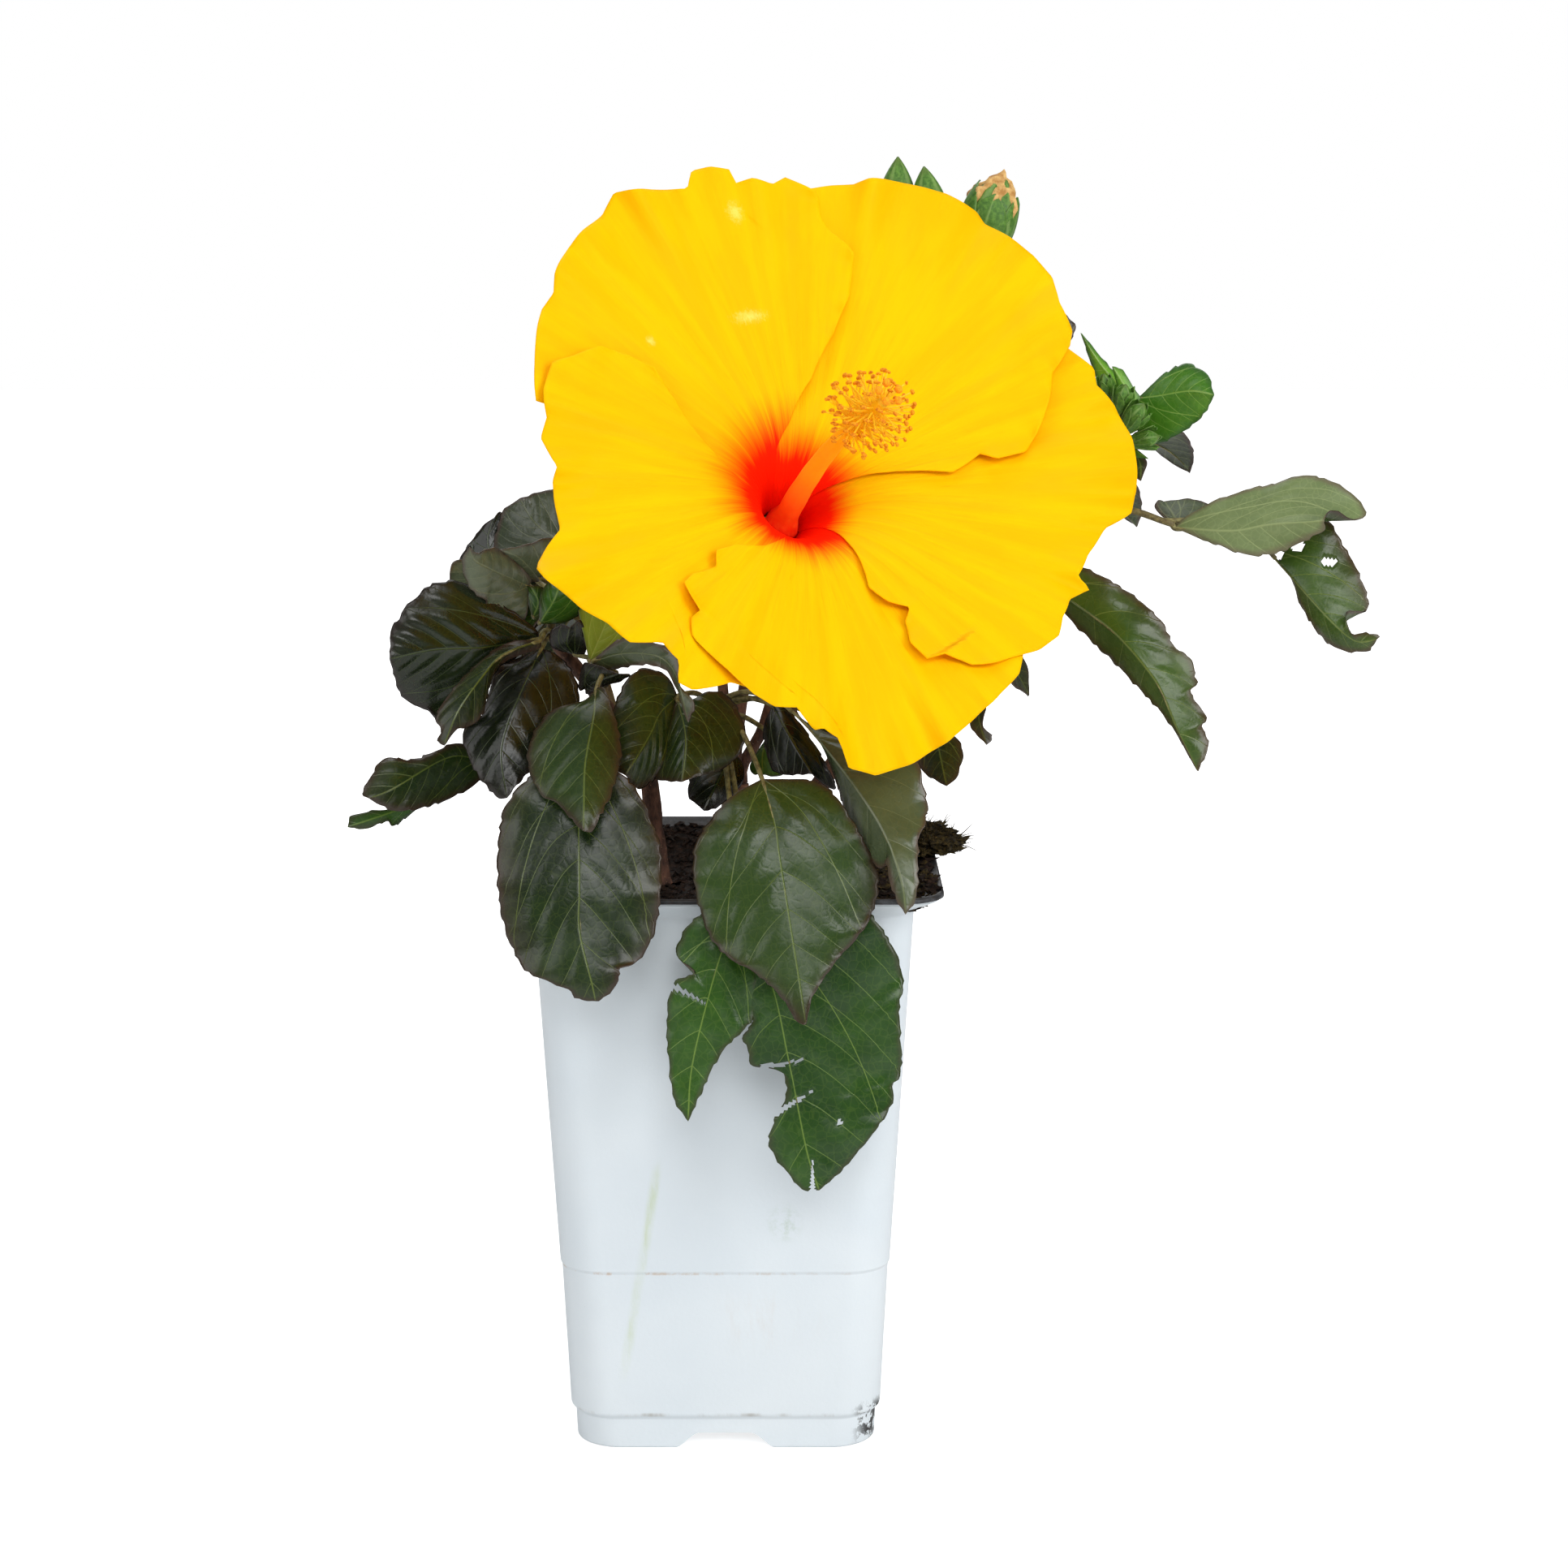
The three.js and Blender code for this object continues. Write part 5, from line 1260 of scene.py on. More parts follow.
# What each bough tip carries: the points of its twig, its leaves and its buds.
SHOOTS = {
    "foliage_left_upper": dict(on="stem_left", twig=[(-53, -16, 262), (-51, -13, 272)], leaves=[
        leaf(0.2, [(-57, -25, 254), (-72, -37, 253), (-88, -45, 253), (-100, -49, 251)],
             [(-71, 242), (-77, 235), (-82, 230), (-86, 229), (-90, 234), (-93, 235), (-97, 239)],
             [(-57, 256), (-71, 268), (-80, 273), (-84, 273), (-88, 272), (-96, 265), (-97, 262),
              (-99, 260)], "dark", lean=(0.25, 0.1), quilt=1.1),
        leaf(0.15, [(-56, -30, 254), (-67, -42, 251), (-71, -48, 247), (-79, -56, 236), (-83, -58, 226)],
             [(-56, 252), (-66, 249), (-69, 246), (-73, 233), (-80, 230)],
             [(-66, 254), (-80, 243), (-86, 233), (-84, 231), (-85, 227)], lean=(0.5, 0.35), quilt=0.5),
        leaf(0.1, [(-56, -27, 251), (-62, -40, 238), (-65, -44, 231), (-67, -48, 222), (-65, -52, 209)],
             [(-52, 250), (-47, 246), (-44, 236)],
             [(-67, 247), (-70, 244), (-74, 232), (-79, 229), (-77, 220), (-68, 209)], "dark", quilt=0.3),
        leaf(0.85, [(-51, 0, 281), (-58, 4, 285), (-62, 8, 289), (-65, 10, 294)],
             [(-71, 277), (-74, 278), (-71, 289)], [(-51, 290), (-54, 297)], "grey", lean=(0.3, 0.2),
             quilt=0.7),
        leaf(0.7, [(-72, 12, 268), (-76, 16, 280), (-74, 18, 287)], [(-76, 266), (-87, 267), (-79, 283)],
             [(-71, 268), (-69, 277), (-70, 286), (-72, 289)], "dark", quilt=0.5),
        leaf(0.55, [(-78, 8, 269), (-83, 6, 271), (-87, 4, 271)], [(-78, 267), (-87, 267)],
             [(-78, 271), (-83, 275), (-86, 274)], "grey", quilt=0.3),
        leaf(0.5, [(-60, -24, 270), (-71, -37, 277), (-75, -40, 280), (-76, -42, 284)],
             [(-60, 260), (-62, 257), (-68, 259), (-72, 264), (-72, 267), (-76, 270), (-78, 280)],
             [(-59, 272), (-66, 281), (-70, 283), (-74, 282)], "grey", lean=(0.1, 0.45), quilt=0.9),
        leaf(0.75, [(-57, -20, 272), (-63, -30, 280), (-68, -32, 282)], [(-57, 271), (-59, 271), (-61, 272)],
             [(-53, 275), (-51, 283), (-54, 284)], "grey", lean=(0.4, 0.2)),
        leaf(0.45, [(-57, -22, 258), (-51, -30, 268), (-50, -30, 272)], [(-55, 270)],
             [(-47, 259), (-43, 262), (-43, 266)], "green", lean=(0.3, 0.3), quilt=0.9),
        leaf(0.4, [(-59, -22, 260), (-57, -24, 265), (-59, -26, 270)], [(-61, 270)],
             [(-57, 260), (-55, 266), (-56, 270)], "green", lean=(0.3, 0.3), quilt=0.5),
    ]),
    "foliage_left_inner": dict(on="bough_left_inner", twig=[(-33, -30, 244)], radius=(1.2, 1), leaves=[
        leaf(0.9, [(-41, -34, 248), (-37, -26, 257), (-35, -22, 262)], [(-44, 265)],
             [(-29, 256), (-31, 260)], "young", quilt=0.5),
        leaf(0.92, [(-40, -36, 248), (-33, -40, 251), (-25, -44, 252), (-18, -48, 251), (-14, -52, 247),
              (-12, -56, 241), (-10, -58, 233)],
             [(-33, 255), (-28, 257), (-16, 254), (-13, 251), (-13, 244), (-8, 239)],
             [(-37, 246), (-18, 248)], "greyed", lean=(-0.3, 0.35)),
        leaf(0.5, [(-46, -26, 249), (-48, -29, 253), (-47, -30, 258)], [(-53, 252), (-53, 256), (-50, 259)],
             [(-43, 249), (-42, 254), (-44, 260)], "dark"),
        leaf(0.55, [(-42, -34, 240), (-38, -40, 243), (-31, -46, 246)], [(-44, 239), (-44, 244), (-42, 248)],
             [(-42, 238), (-38, 240), (-28, 245)], "dark", lean=(0.3, 0.2)),
        leaf(0.6, [(-38, -50, 242), (-38, -60, 236), (-40, -72, 223), (-40, -82, 211), (-40, -84, 205)],
             [(-36, 243), (-33, 238), (-30, 227), (-33, 213), (-38, 205)],
             [(-41, 239), (-54, 235), (-58, 227), (-58, 222), (-53, 213), (-50, 213)], lean=(0.15, 0.55),
             quilt=0.45),
    ]),
    "foliage_left_lower": dict(on="bough_left_lower", twig=[(-50, -26, 225)], radius=(1.3, 1), leaves=[
        leaf(0.9, [(-43, -60, 224), (-42, -76, 185), (-42, -79, 175), (-38, -84, 159), (-37, -84, 154)],
             [(-37, 223), (-26, 215), (-22, 208), (-18, 196), (-20, 173), (-25, 165), (-30, 163),
              (-30, 160), (-36, 154)], [(-43, 225), (-51, 222), (-57, 218), (-64, 210), (-66, 205),
              (-66, 181), (-62, 168), (-58, 162), (-45, 157), (-43, 155)], lean=(0.12, 0.12), quilt=0.35),
        leaf(0.7, [(-76, -20, 215), (-84, -24, 217), (-102, -39, 209), (-108, -42, 207)],
             [(-76, 209), (-94, 202), (-102, 203)],
             [(-76, 217), (-82, 221), (-96, 217), (-104, 218), (-109, 211), (-110, 208)], lean=(0.1, 0.3)),
        leaf(0.4, [(-76, -4, 207), (-84, -9, 206), (-100, -19, 200), (-117, -26, 195)],
             [(-76, 206), (-80, 206), (-96, 199), (-104, 194), (-105, 196), (-111, 194)],
             [(-76, 209), (-84, 207), (-97, 201), (-116, 198)], "green", lean=(0.1, 0.3), quilt=0.3),
    ]),
    "foliage_front": dict(on="bough_front", twig=[(-4, -24, 234)], radius=(1.2, 1), leaves=[
        leaf(0.6, [(12, -64, 217), (16, -73, 204), (17, -76, 197), (25, -92, 149)],
             [(29, 217), (34, 213), (46, 191), (45, 181), (41, 174), (35, 168), (27, 157)], [(2, 212),
              (-6, 203), (-8, 199), (-8, 187), (-4, 174), (2, 167), (10, 163), (18, 156), (23, 149)],
             lean=(0.18, 0.1), quilt=0.35),
        leaf(0.2, [(9, -71, 174), (16, -76, 153), (20, -78, 134), (26, -83, 105), (29, -84, 96)],
             [(17, 181), (32, 182), (42, 180), (48, 173), (52, 166), (54, 157), (53, 151), (53, 129),
              (51, 127), (51, 122), (36, 102)], [(4, 176), (0, 169), (0, 164), (3, 156), (9, 146), (6, 141),
              (8, 137), (8, 133), (18, 131), (19, 128), (19, 124), (16, 118), (14, 109), (21, 99), (24, 96)],
             "green", lean=(0.06, 0.08), quilt=0.45,
             slits=[((12, 132), (26, 135), 1), ((15, 118), (28, 126), 1), ((27, 95), (27, 105), 0.9)],
             holes=[(35, 116, 1, 1)]),
        leaf(0.3, [(5, -71, 175), (1, -74, 169), (-3, -77, 157), (-9, -81, 132), (-10, -83, 117)],
             [(10, 167), (11, 157), (10, 148), (0, 137)], [(4, 177), (-6, 178), (-13, 169), (-13, 165),
              (-8, 161), (-14, 158), (-16, 151), (-16, 136), (-14, 123)], "green", lean=(0.06, 0.2),
             quilt=0.45, slits=[((-15, 157), (-5, 152), 1)]),
        leaf(0.9, [(-14, -38, 238), (-19, -46, 234), (-22, -51, 228), (-29, -58, 217)],
             [(-13, 234), (-17, 219), (-23, 213), (-26, 213)],
             [(-16, 243), (-19, 246), (-25, 247), (-28, 245), (-32, 237), (-33, 231), (-31, 218)],
             lean=(0.1, 0.3), quilt=0.7),
        leaf(0.85, [(-14, -40, 238), (-11, -51, 227), (-12, -58, 215)],
             [(-10, 237), (-5, 240), (1, 240), (7, 228), (4, 221)], [(-20, 219), (-20, 215)],
             lean=(0.25, 0.25), quilt=0.9),
        leaf(0.9, [(17, -40, 237), (23, -46, 233), (29, -54, 227), (47, -77, 205), (53, -86, 190),
              (54, -88, 181)], [(21, 236), (24, 232), (34, 228), (57, 224), (59, 219), (60, 207), (58, 201),
              (58, 196), (57, 186)],
             [(28, 228), (31, 223), (41, 197), (46, 193), (48, 194), (48, 196), (51, 186)], "greyed",
             lean=(0.3, 0.5), quilt=0.5),
        leaf(0.7, [(15, -38, 235), (23, -50, 223), (27, -56, 217)],
             [(14, 237), (18, 236), (28, 224), (34, 212), (30, 214)], [(12, 228), (16, 216)], "dark",
             lean=(0.2, 0.3), quilt=0.3),
        leaf(0.72, [(27, -36, 232), (33, -40, 229), (39, -44, 223)], [(26, 234), (38, 229)],
             [(28, 227), (31, 222), (37, 219), (41, 218)]),
        leaf(0.3, [(3, -26, 219), (-3, -38, 209), (-6, -41, 203)], [(6, 215), (6, 211), (-4, 203)],
             [(1, 217), (-9, 214), (-11, 210), (-10, 206)], "dark", lean=(0.1, 0.2), quilt=0.3),
        leaf(0.35, [(14, -30, 225), (12, -36, 220), (12, -40, 214)], [(18, 213)], [(8, 216), (9, 214)],
             "green", lean=(0.1, 0.2), quilt=0.3),
    ]),
    "foliage_right_lower": dict(on="bough_right_lower", twig=[(68, -20, 247)], radius=(1.2, 1), leaves=[
        leaf(0.4, [(65, -26, 225), (66, -32, 221), (68, -43, 211)], [(70, 225), (73, 222), (72, 214)],
             [(59, 218), (63, 213)], quilt=0.3),
        leaf(0.6, [(79, -20, 232), (79, -24, 228), (81, -27, 221)],
             [(78, 233), (81, 233), (80, 227), (83, 223)], [(76, 227)], quilt=0.2),
        blade(0.9, (74, -24, 254), (94, -24, 236), 22, (0.3, -0.4, 0.85), arch=0.12),
        blade(0.95, (60, -24, 256), (44, -34, 238), 24, (-0.2, -0.6, 0.8)),
    ]),
    "foliage_far_right": dict(
        on="stem_right", twig=[(104, -2, 281), (122, -9, 292), (139, -15, 288)], leaves=[
        leaf(0.3, [(100, -20, 271), (106, -23, 266), (119, -31, 257), (129, -38, 246), (133, -40, 240),
              (138, -44, 228), (144, -46, 216)], [(99, 272), (102, 275), (109, 276), (132, 262), (138, 252),
              (140, 251), (142, 249), (143, 245), (144, 242), (142, 240), (147, 231), (145, 230),
              (147, 224)], [(100, 268), (104, 262), (134, 232)], "green2", lean=(0.15, 0.9), quilt=0.5),
        leaf(0.97, [(140, -13, 288), (139, -8, 291), (137, -2, 294)], [(136, 290), (134, 293), (135, 295)],
             [(152, 294), (147, 295)], quilt=0.25, flip=True),
        leaf(0.98, [(139, -15, 287), (156, -23, 287), (166, -26, 289), (182, -34, 291)], [(143, 291),
              (162, 300), (179, 304), (189, 301), (195, 296), (196, 293), (193, 291), (185, 294),
              (183, 293)], [(159, 280), (164, 280), (179, 286), (182, 288)], lean=(0.25, -0.5), quilt=0.35,
             flip=True, back="under"),
        leaf(0.94, [(168, -14, 280), (190, -31, 256), (194, -33, 254), (199, -35, 255)], [(185, 290),
              (189, 284), (196, 271), (197, 263), (190, 263), (192, 256), (195, 257), (200, 256)],
             [(172, 277), (175, 272), (178, 263), (184, 254), (188, 251), (197, 251)], "green2",
             lean=(0.1, 0.45), quilt=0.45, holes=[(171, 279, 1.6, 2), (177, 282, 2, 2), (186, 277, 2.6, 1)]),
        blade(0.2, (93, -22, 280), (118, -34, 293), 26, (0.2, -0.5, 0.8)),
    ]),
    "foliage_right_top": dict(
        on="bough_right_top", twig=[(108, 8, 298), (118, 3, 307), (125, -1, 314)], radius=(1.2, 1), leaves=[
        leaf(0.97, [(128, -3, 326), (134, -6, 327), (144, -14, 329), (150, -18, 328)],
             [(141, 337), (148, 334)], [(127, 321), (131, 312), (147, 321)], "bright", lean=(0.3, 0.2),
             quilt=0.5),
        leaf(0.98, [(125, -2, 327), (116, 3, 338), (111, 6, 346)], [(122, 325), (118, 328)],
             [(127, 326), (122, 333)], "bright", lean=(0.25, 0.4)),
        leaf(0.99, [(127, -6, 325), (124, -6, 330), (120, -4, 336)], [(124, 325)],
             [(129, 326), (127, 329), (123, 335)], "bright", lean=(0.25, 0.4)),
        leaf(0.8, [(127, -4, 310), (129, -7, 306), (129, -10, 301)], [(131, 307)], [(125, 306), (126, 303)],
             quilt=0.2),
        leaf(0.82, [(126, -8, 312), (128, -10, 310), (131, -12, 308)], [], [(126, 309)], "bright",
             quilt=0.2),
        leaf(0.5, [(104, 18, 340), (106, 21, 345), (108, 24, 351)], [(102, 345), (103, 351), (106, 353)],
             [(106, 339), (110, 344), (111, 347)], quilt=0.3),
        blade(0.2, (106, 24, 298), (134, 44, 282), 30, (0.3, 0.4, 0.85), arch=0.12),
        blade(0.6, (124, 18, 312), (150, 38, 300), 26, (0.3, 0.3, 0.9), arch=0.12),
    ], buds=[
        bud(0.97, (122, -8, 322), (123.5, -12, 331), 6, open=0.35),
        bud(0.99, (124, -9, 317), (129, -15, 325), 7, open=0.3, count=7),
        bud(0.96, (126, -9, 313), (134, -14, 315), 6, open=0.5, count=7),
        bud(0.98, (118.5, -5, 327), (117, -8, 334), 4.5, open=0.2),
    ]),
    "foliage_top": dict(on="bough_buds", twig=[(56, 16, 350), (64, 14, 362)], leaves=[
        blade(0.1, (38, 30, 338), (8, 46, 326), 36, (-0.2, 0.3, 0.9), arch=0.12),
        blade(0.3, (66, 32, 348), (92, 54, 334), 34, (0.3, 0.3, 0.9), arch=0.12),
        blade(0.5, (52, 34, 356), (48, 66, 350), 32, (0, 0.4, 0.9), arch=0.12),
        blade(0.7, (72, 24, 362), (98, 34, 352), 26, (0.2, 0.1, 0.9), arch=0.12),
    ], buds=[
        bud(0.7, (54, 15, 370), (54, 15, 400), 12.5, count=0),
        bud(0.95, (66, 12, 368), (62, 12, 397), 12.5, count=0),
        bud(0.97, (78, 24, 366), (87.5, 24, 395), 17.5, sepals=0.86, turn=0.3, dry=True),
    ]),
}
for index, (name, parts) in enumerate(SHOOTS.items()):
    add_shoot(name, seed=index + 1, **parts)


def ruled_leaves(on, twig, count, seed, sector, spread, size, inside):
    """Leaves set round a twig by the shrub's own rule, as in the part's source."""
    draw = seeded(seed)
    curve = Curve([*beyond_tip(on), *twig])
    leaves = []
    for i in range(count):
        share = (i + 0.7) / count
        swing = (i * GOLDEN_ANGLE % 360) / 180 - 1
        azimuth = math.radians(sector + spread * swing + 12 * (draw() - 0.5))
        length = size * (1.15 - 0.45 * share) * (0.9 + 0.2 * draw())
        rise = math.radians(30 + 25 * share)
        hang = math.radians(62 - 62 * share + 14 * (draw() - 0.5))
        out = polar(azimuth)
        stalk = length * (0.42 - 0.15 * share)
        base = curve.at(share) + out * stalk * math.cos(rise) + vec(0, 0, stalk * math.sin(rise))
        tip = base + out * length * math.cos(hang) - vec(0, 0, length * math.sin(hang))
        width = length * (0.62 + 0.1 * draw())
        one = blade(share, base, tip, width, (0.5 * out[0], 0.5 * out[1], 0.9), arch=0.1, fold=12)
        b, along, across, up, full = blade_frame(one)
        corners = []
        for s, t in ((0, 0), (0.35, 1), (0.35, -1), (0.7, 1), (0.7, -1), (1, 0)):
            half = width / 2 * max(0.05, max(0, math.sin(math.pi * s**0.82)) ** 0.66)
            lift = 0.1 * full * 4 * s * (1 - s) + math.tan(math.radians(12)) * abs(t) * half
            corners.append(b + along * s * full + across * t * half + up * lift)
        if all(inside(p) for p in corners):
            leaves.append(one)
    return leaves


# The space that each mass of leaves behind keeps to, as in the part's source.
def inside_back(p):
    return -27 < p[0] < 35 and p[1] > 34 and p[2] > 186


def inside_back_left(p):
    return -110 + 0.85 * max(0, p[2] - 235) < p[0] < -28 and p[1] > 2 and p[2] > 186


def inside_back_right(p):
    return 36 < p[0] < 64 + 0.75 * (p[2] - 195) and p[1] > 12 and p[2] > 186


BACK_SHOOTS = {
    "foliage_back": dict(on="bough_back", twig=[(-6, 46, 272), (-7, 50, 296)], count=14, seed=21,
                         sector=90, spread=90, size=56, inside=inside_back),
    "foliage_back_left": dict(on="bough_back_left", twig=[(-46, 30, 262), (-46, 33, 284)], count=16, seed=8,
                              sector=140, spread=80, size=50, inside=inside_back_left),
    "foliage_back_right": dict(on="bough_back_right", twig=[(58, 38, 270), (60, 40, 290)], count=16, seed=30,
                               sector=45, spread=110, size=50, inside=inside_back_right),
}
for index, (name, rule) in enumerate(BACK_SHOOTS.items()):
    leaves = ruled_leaves(**rule)
    small = dict(rule, count=22, seed=rule["seed"] + 50, size=rule["size"] * 0.62)
    leaves += ruled_leaves(**small)
    add_shoot(name, rule["on"], rule["twig"], leaves, seed=index + 31)

# ---------------------------------------------------------------- the bloom

THROAT = vec(17, -45, 290)
TURN, RISE = math.radians(24.8), math.radians(34.2)
OUT = vec(math.sin(TURN) * math.cos(RISE), -math.cos(TURN) * math.cos(RISE), math.sin(RISE))
RIGHT = vec(math.cos(TURN), math.sin(TURN), 0)
UP = np.cross(OUT, RIGHT)
STAND_OUT = vec(0, -1.24, 0.12)
TUBE_RADIUS, TUBE_ANGLE, RIM_ANGLE, BEND = 5.6, 18, 82, 46
FULL_REACH = 105
COLUMN_LENGTH = 78
# The stamens: their number, where the lowest starts, and the middle and radius of the ball that they form.
STAMENS = dict(count=124, low=0.68, centre=0.885, reach=12.4)

# The petals' profile in steps of a millimetre: distance from the bloom's axis, height above the throat.
midline = [(TUBE_RADIUS, 0.0)]
for i in range(130):
    bend_angle = math.radians(lerp(TUBE_ANGLE, RIM_ANGLE, float(smooth((i + 0.5) / BEND))))
    midline.append((midline[i][0] + math.sin(bend_angle), midline[i][1] + math.cos(bend_angle)))
midline = np.array(midline)


def flower_point(distance, angle, height):
    """A point of the bloom, by its distance from the axis, angle round it and height above the throat."""
    distance, angle, height = np.broadcast_arrays(distance, angle, height)
    ways = ((RIGHT, distance * np.cos(angle)), (UP, distance * np.sin(angle)), (OUT, height))
    return THROAT + sum(way * np.asarray(far)[..., None] for way, far in ways)


# Each petal: its middle, how far the red reaches, its rim from the hidden edge to the edge in front, and the
# front edge from rim to base, as (degrees round the axis, millimetres from the throat).
PETALS = [
    dict(middle=114, red=31, rim=[(168, 92), (162.5, 94), (154.5, 96.5), (143, 101), (138.5, 100.5),
          (135, 103.5), (129, 106), (119, 108.5), (114.5, 112.5), (108, 109), (101, 106.5), (99, 112),
          (95.5, 112.5), (92, 111), (91.5, 106.5), (88, 108), (84.5, 106.5), (82, 109.5), (78, 107.5),
          (76.5, 106.5)], front=[(75.5, 104), (75, 97.5), (72.5, 94), (69.5, 92), (67, 89), (66, 74.5),
          (68.5, 60), (75, 44), (88.5, 30), (104, 22.5), (108, 12.5)]),
    dict(middle=48, red=25, rim=[(88, 104), (77, 107.5), (73.5, 110), (69.5, 112.5), (67, 116), (62.5, 119),
          (54.5, 123.5), (49, 124), (47, 122), (38, 123.5), (33.5, 122.5), (29.5, 117), (24.5, 114),
          (22.5, 110)], front=[(22, 108.5), (19.5, 100), (14.5, 93.5), (8, 84.5), (4, 79), (3.5, 69),
          (6, 64.5), (1, 54), (3, 47.5), (5, 41), (7.5, 34.5), (11.5, 28.5), (16.5, 21.5), (28, 12.5)]),
    dict(middle=-14, red=20, rim=[(34, 104), (22, 109.5), (17, 113), (14, 110.5), (9.5, 113), (3, 113.5),
          (-3, 112), (-7, 111), (-11.5, 108), (-15, 100), (-21.5, 94.5), (-27.5, 92), (-29.5, 97),
          (-33.5, 91.5), (-38.5, 91.5), (-43, 93), (-48.5, 90.5), (-55, 85.5), (-62, 81)],
         front=[(-63.5, 80), (-67.5, 72), (-72.5, 72), (-74, 65), (-71, 58.5), (-65.5, 55), (-71.5, 50.5),
          (-75.5, 44), (-71, 37.5), (-62, 26.5), (-48, 16)]),
    dict(middle=-95, red=29, rim=[(-40, 84), (-52, 88), (-56.5, 91), (-63, 92), (-68.5, 93.5), (-78, 97.5),
          (-88, 103.5), (-95.5, 107.5), (-100, 105), (-101, 95), (-104, 92), (-106, 93.5), (-109.5, 87),
          (-114, 89), (-119, 87)], front=[(-120.5, 86), (-126, 83), (-131, 81.5), (-136, 80), (-139, 74.5),
          (-138.5, 70), (-147, 66.5), (-147.5, 62), (-144.5, 53.5), (-149.5, 49), (-146.5, 42),
          (-134.5, 34), (-118, 16)]),
    dict(middle=-170, red=33, rim=[(-112, 84), (-124, 87), (-130, 96.5), (-133, 97), (-135, 90),
          (-140, 88.5), (-144, 96.5), (-149.5, 98), (-154, 102), (-159, 104), (-163.5, 106.5),
          (-166.5, 100.5), (-169.5, 93.5), (-180, 91), (-183.5, 88), (-189.5, 92.5), (-194.5, 90.5),
          (-200.5, 92), (-207.5, 91.5)], front=[(-211.5, 86.5), (-218, 80.5), (-220.5, 73), (-223, 64),
          (-217.5, 54), (-207, 41.5), (-196, 30), (-186, 16)]),
]


def gentle(reach, reaches, angles, spread=12):
    """An edge's angle at some reach, with its scallops smoothed out."""
    return sum(np.interp(reach + k * spread / 3, reaches, angles) for k in range(-3, 4)) / 7


def petal_grid(index, rows=90, columns=110):
    """A petal's surface between its own front edge and a hidden edge under the next petal's front edge."""
    data = PETALS[index]
    rng = random.Random(40 + index)
    rim = np.array(data["rim"], float)[::-1]
    front = np.array(data["front"], float)
    middle = data["middle"]
    s = np.linspace(0, 1, rows + 1)
    t = np.linspace(-1, 1, columns + 1)
    share = (t + 1) / 2
    neighbour = PETALS[index - 1]
    turn_on = 0 if index else 360
    cover_edge = neighbour["front"][0][0] + turn_on
    low, high = rim[0, 0], min(rim[-1, 0], cover_edge + 14)
    rim_angle = lerp(low, high, share)
    rim_reach = np.interp(rim_angle, rim[:, 0], rim[:, 1])
    S, T = np.meshgrid(s, t, indexing="ij")
    even_rim = gentle(rim_angle, rim[:, 0], rim[:, 1])[None, :]
    reach = S * lerp(even_rim, rim_reach[None, :], smooth(S, 0.7, 1))
    front_reach = [0, *front[::-1, 1], rim[0, 1]]
    front_turn = [middle - 6, *front[::-1, 0], low]
    order = np.argsort(front_reach, kind="stable")
    front_reach, front_turn = np.array(front_reach)[order], np.array(front_turn)[order]
    cover = np.array(neighbour["front"], float)[::-1]
    cover_reach = np.concatenate([[0], np.maximum.accumulate(cover[:, 1])])
    cover_turn = np.concatenate([[neighbour["middle"] - 6], cover[:, 0]]) + turn_on
    cover = gentle(reach, cover_reach, cover_turn)
    middle_line = gentle(reach, front_reach, front_turn)
    detail = (np.interp(reach, front_reach, front_turn) - middle_line) * (1 - smooth(T, -1, -0.5))
    hidden = high - cover_edge + 16 * (1 - smooth(reach, 8, 34))
    angle = lerp(middle_line, cover + hidden, (T + 1) / 2) + detail
    angle = lerp(angle, rim_angle[None, :], smooth(S, 0.75, 1) * smooth(T, -1, -0.8))
    u = reach / FULL_REACH
    far = reach / even_rim
    raised = smooth(u, 0.03, 0.5)
    seen = 1 - smooth(angle - cover, -12, 3)
    over = raised * (0.7 * smooth(-T, 0.3, 1.0) - 1.1 * (1 - seen)) - 0.3 * T
    phases = [rng.uniform(0, 2 * math.pi) for _ in range(8)]
    rad = np.radians(angle)
    own = 0.7 * np.sin(2.2 * math.pi * T + phases[0]) + 0.5 * np.sin(4.3 * math.pi * T + phases[1])
    own = 1.2 * far**3 * own
    crimp = far**6 * (1.9 * np.sin(rad * 17 + phases[2]) + 1.5 * np.sin(rad * 29 + phases[3])
                    + 0.9 * np.sin(rad * 47 + phases[4]))
    near_edge = np.exp(-(T + 1) / 0.08) * smooth(S, 0.35, 0.7)
    hem = near_edge * (0.5 + 0.9 * np.sin(reach * 0.32 + phases[5]) + 0.6 * np.sin(reach * 0.71 + phases[6]))
    shared = 1.9 * u**3 * (np.sin(rad * 5 + 0.6) + 0.6 * np.sin(rad * 11 + 2.0))
    shared = shared + 0.3 * smooth(u, 0.15, 0.5) * np.sin(rad * 30) * (1 - 0.4 * far)
    distance = np.interp(reach, np.arange(len(midline)), midline[:, 0])
    height = np.interp(reach, np.arange(len(midline)), midline[:, 1])
    waves = over + seen * (1 - 0.8 * smooth(-T, 0.5, 0.95)) * (own + crimp) + hem + shared
    grid = flower_point(distance, rad, height) + STAND_OUT * waves[..., None]
    return grid, dict(reach=reach, turn=rad, glow=reach / data["red"])


for index in range(len(PETALS)):
    grid, values = petal_grid(index)
    petal = Mesh()
    petal.add(*sheet(grid, PETAL_THICKNESS), **doubled(values))
    petal.build(f"petal_{index + 1}", [PETAL], "petal", ["bloom_petals"] if index == 0 else ())


def axis_point(t):
    """The middle of the column, a little bent, from 0 at the throat to 1 at the tip."""
    along = 2 * CLEARANCE + COLUMN_LENGTH * t
    return flower_point(0, 0, along) + RIGHT * 1.4 * t * t + UP * (3 * math.sin(math.pi * t) - 3.7 * t * t)


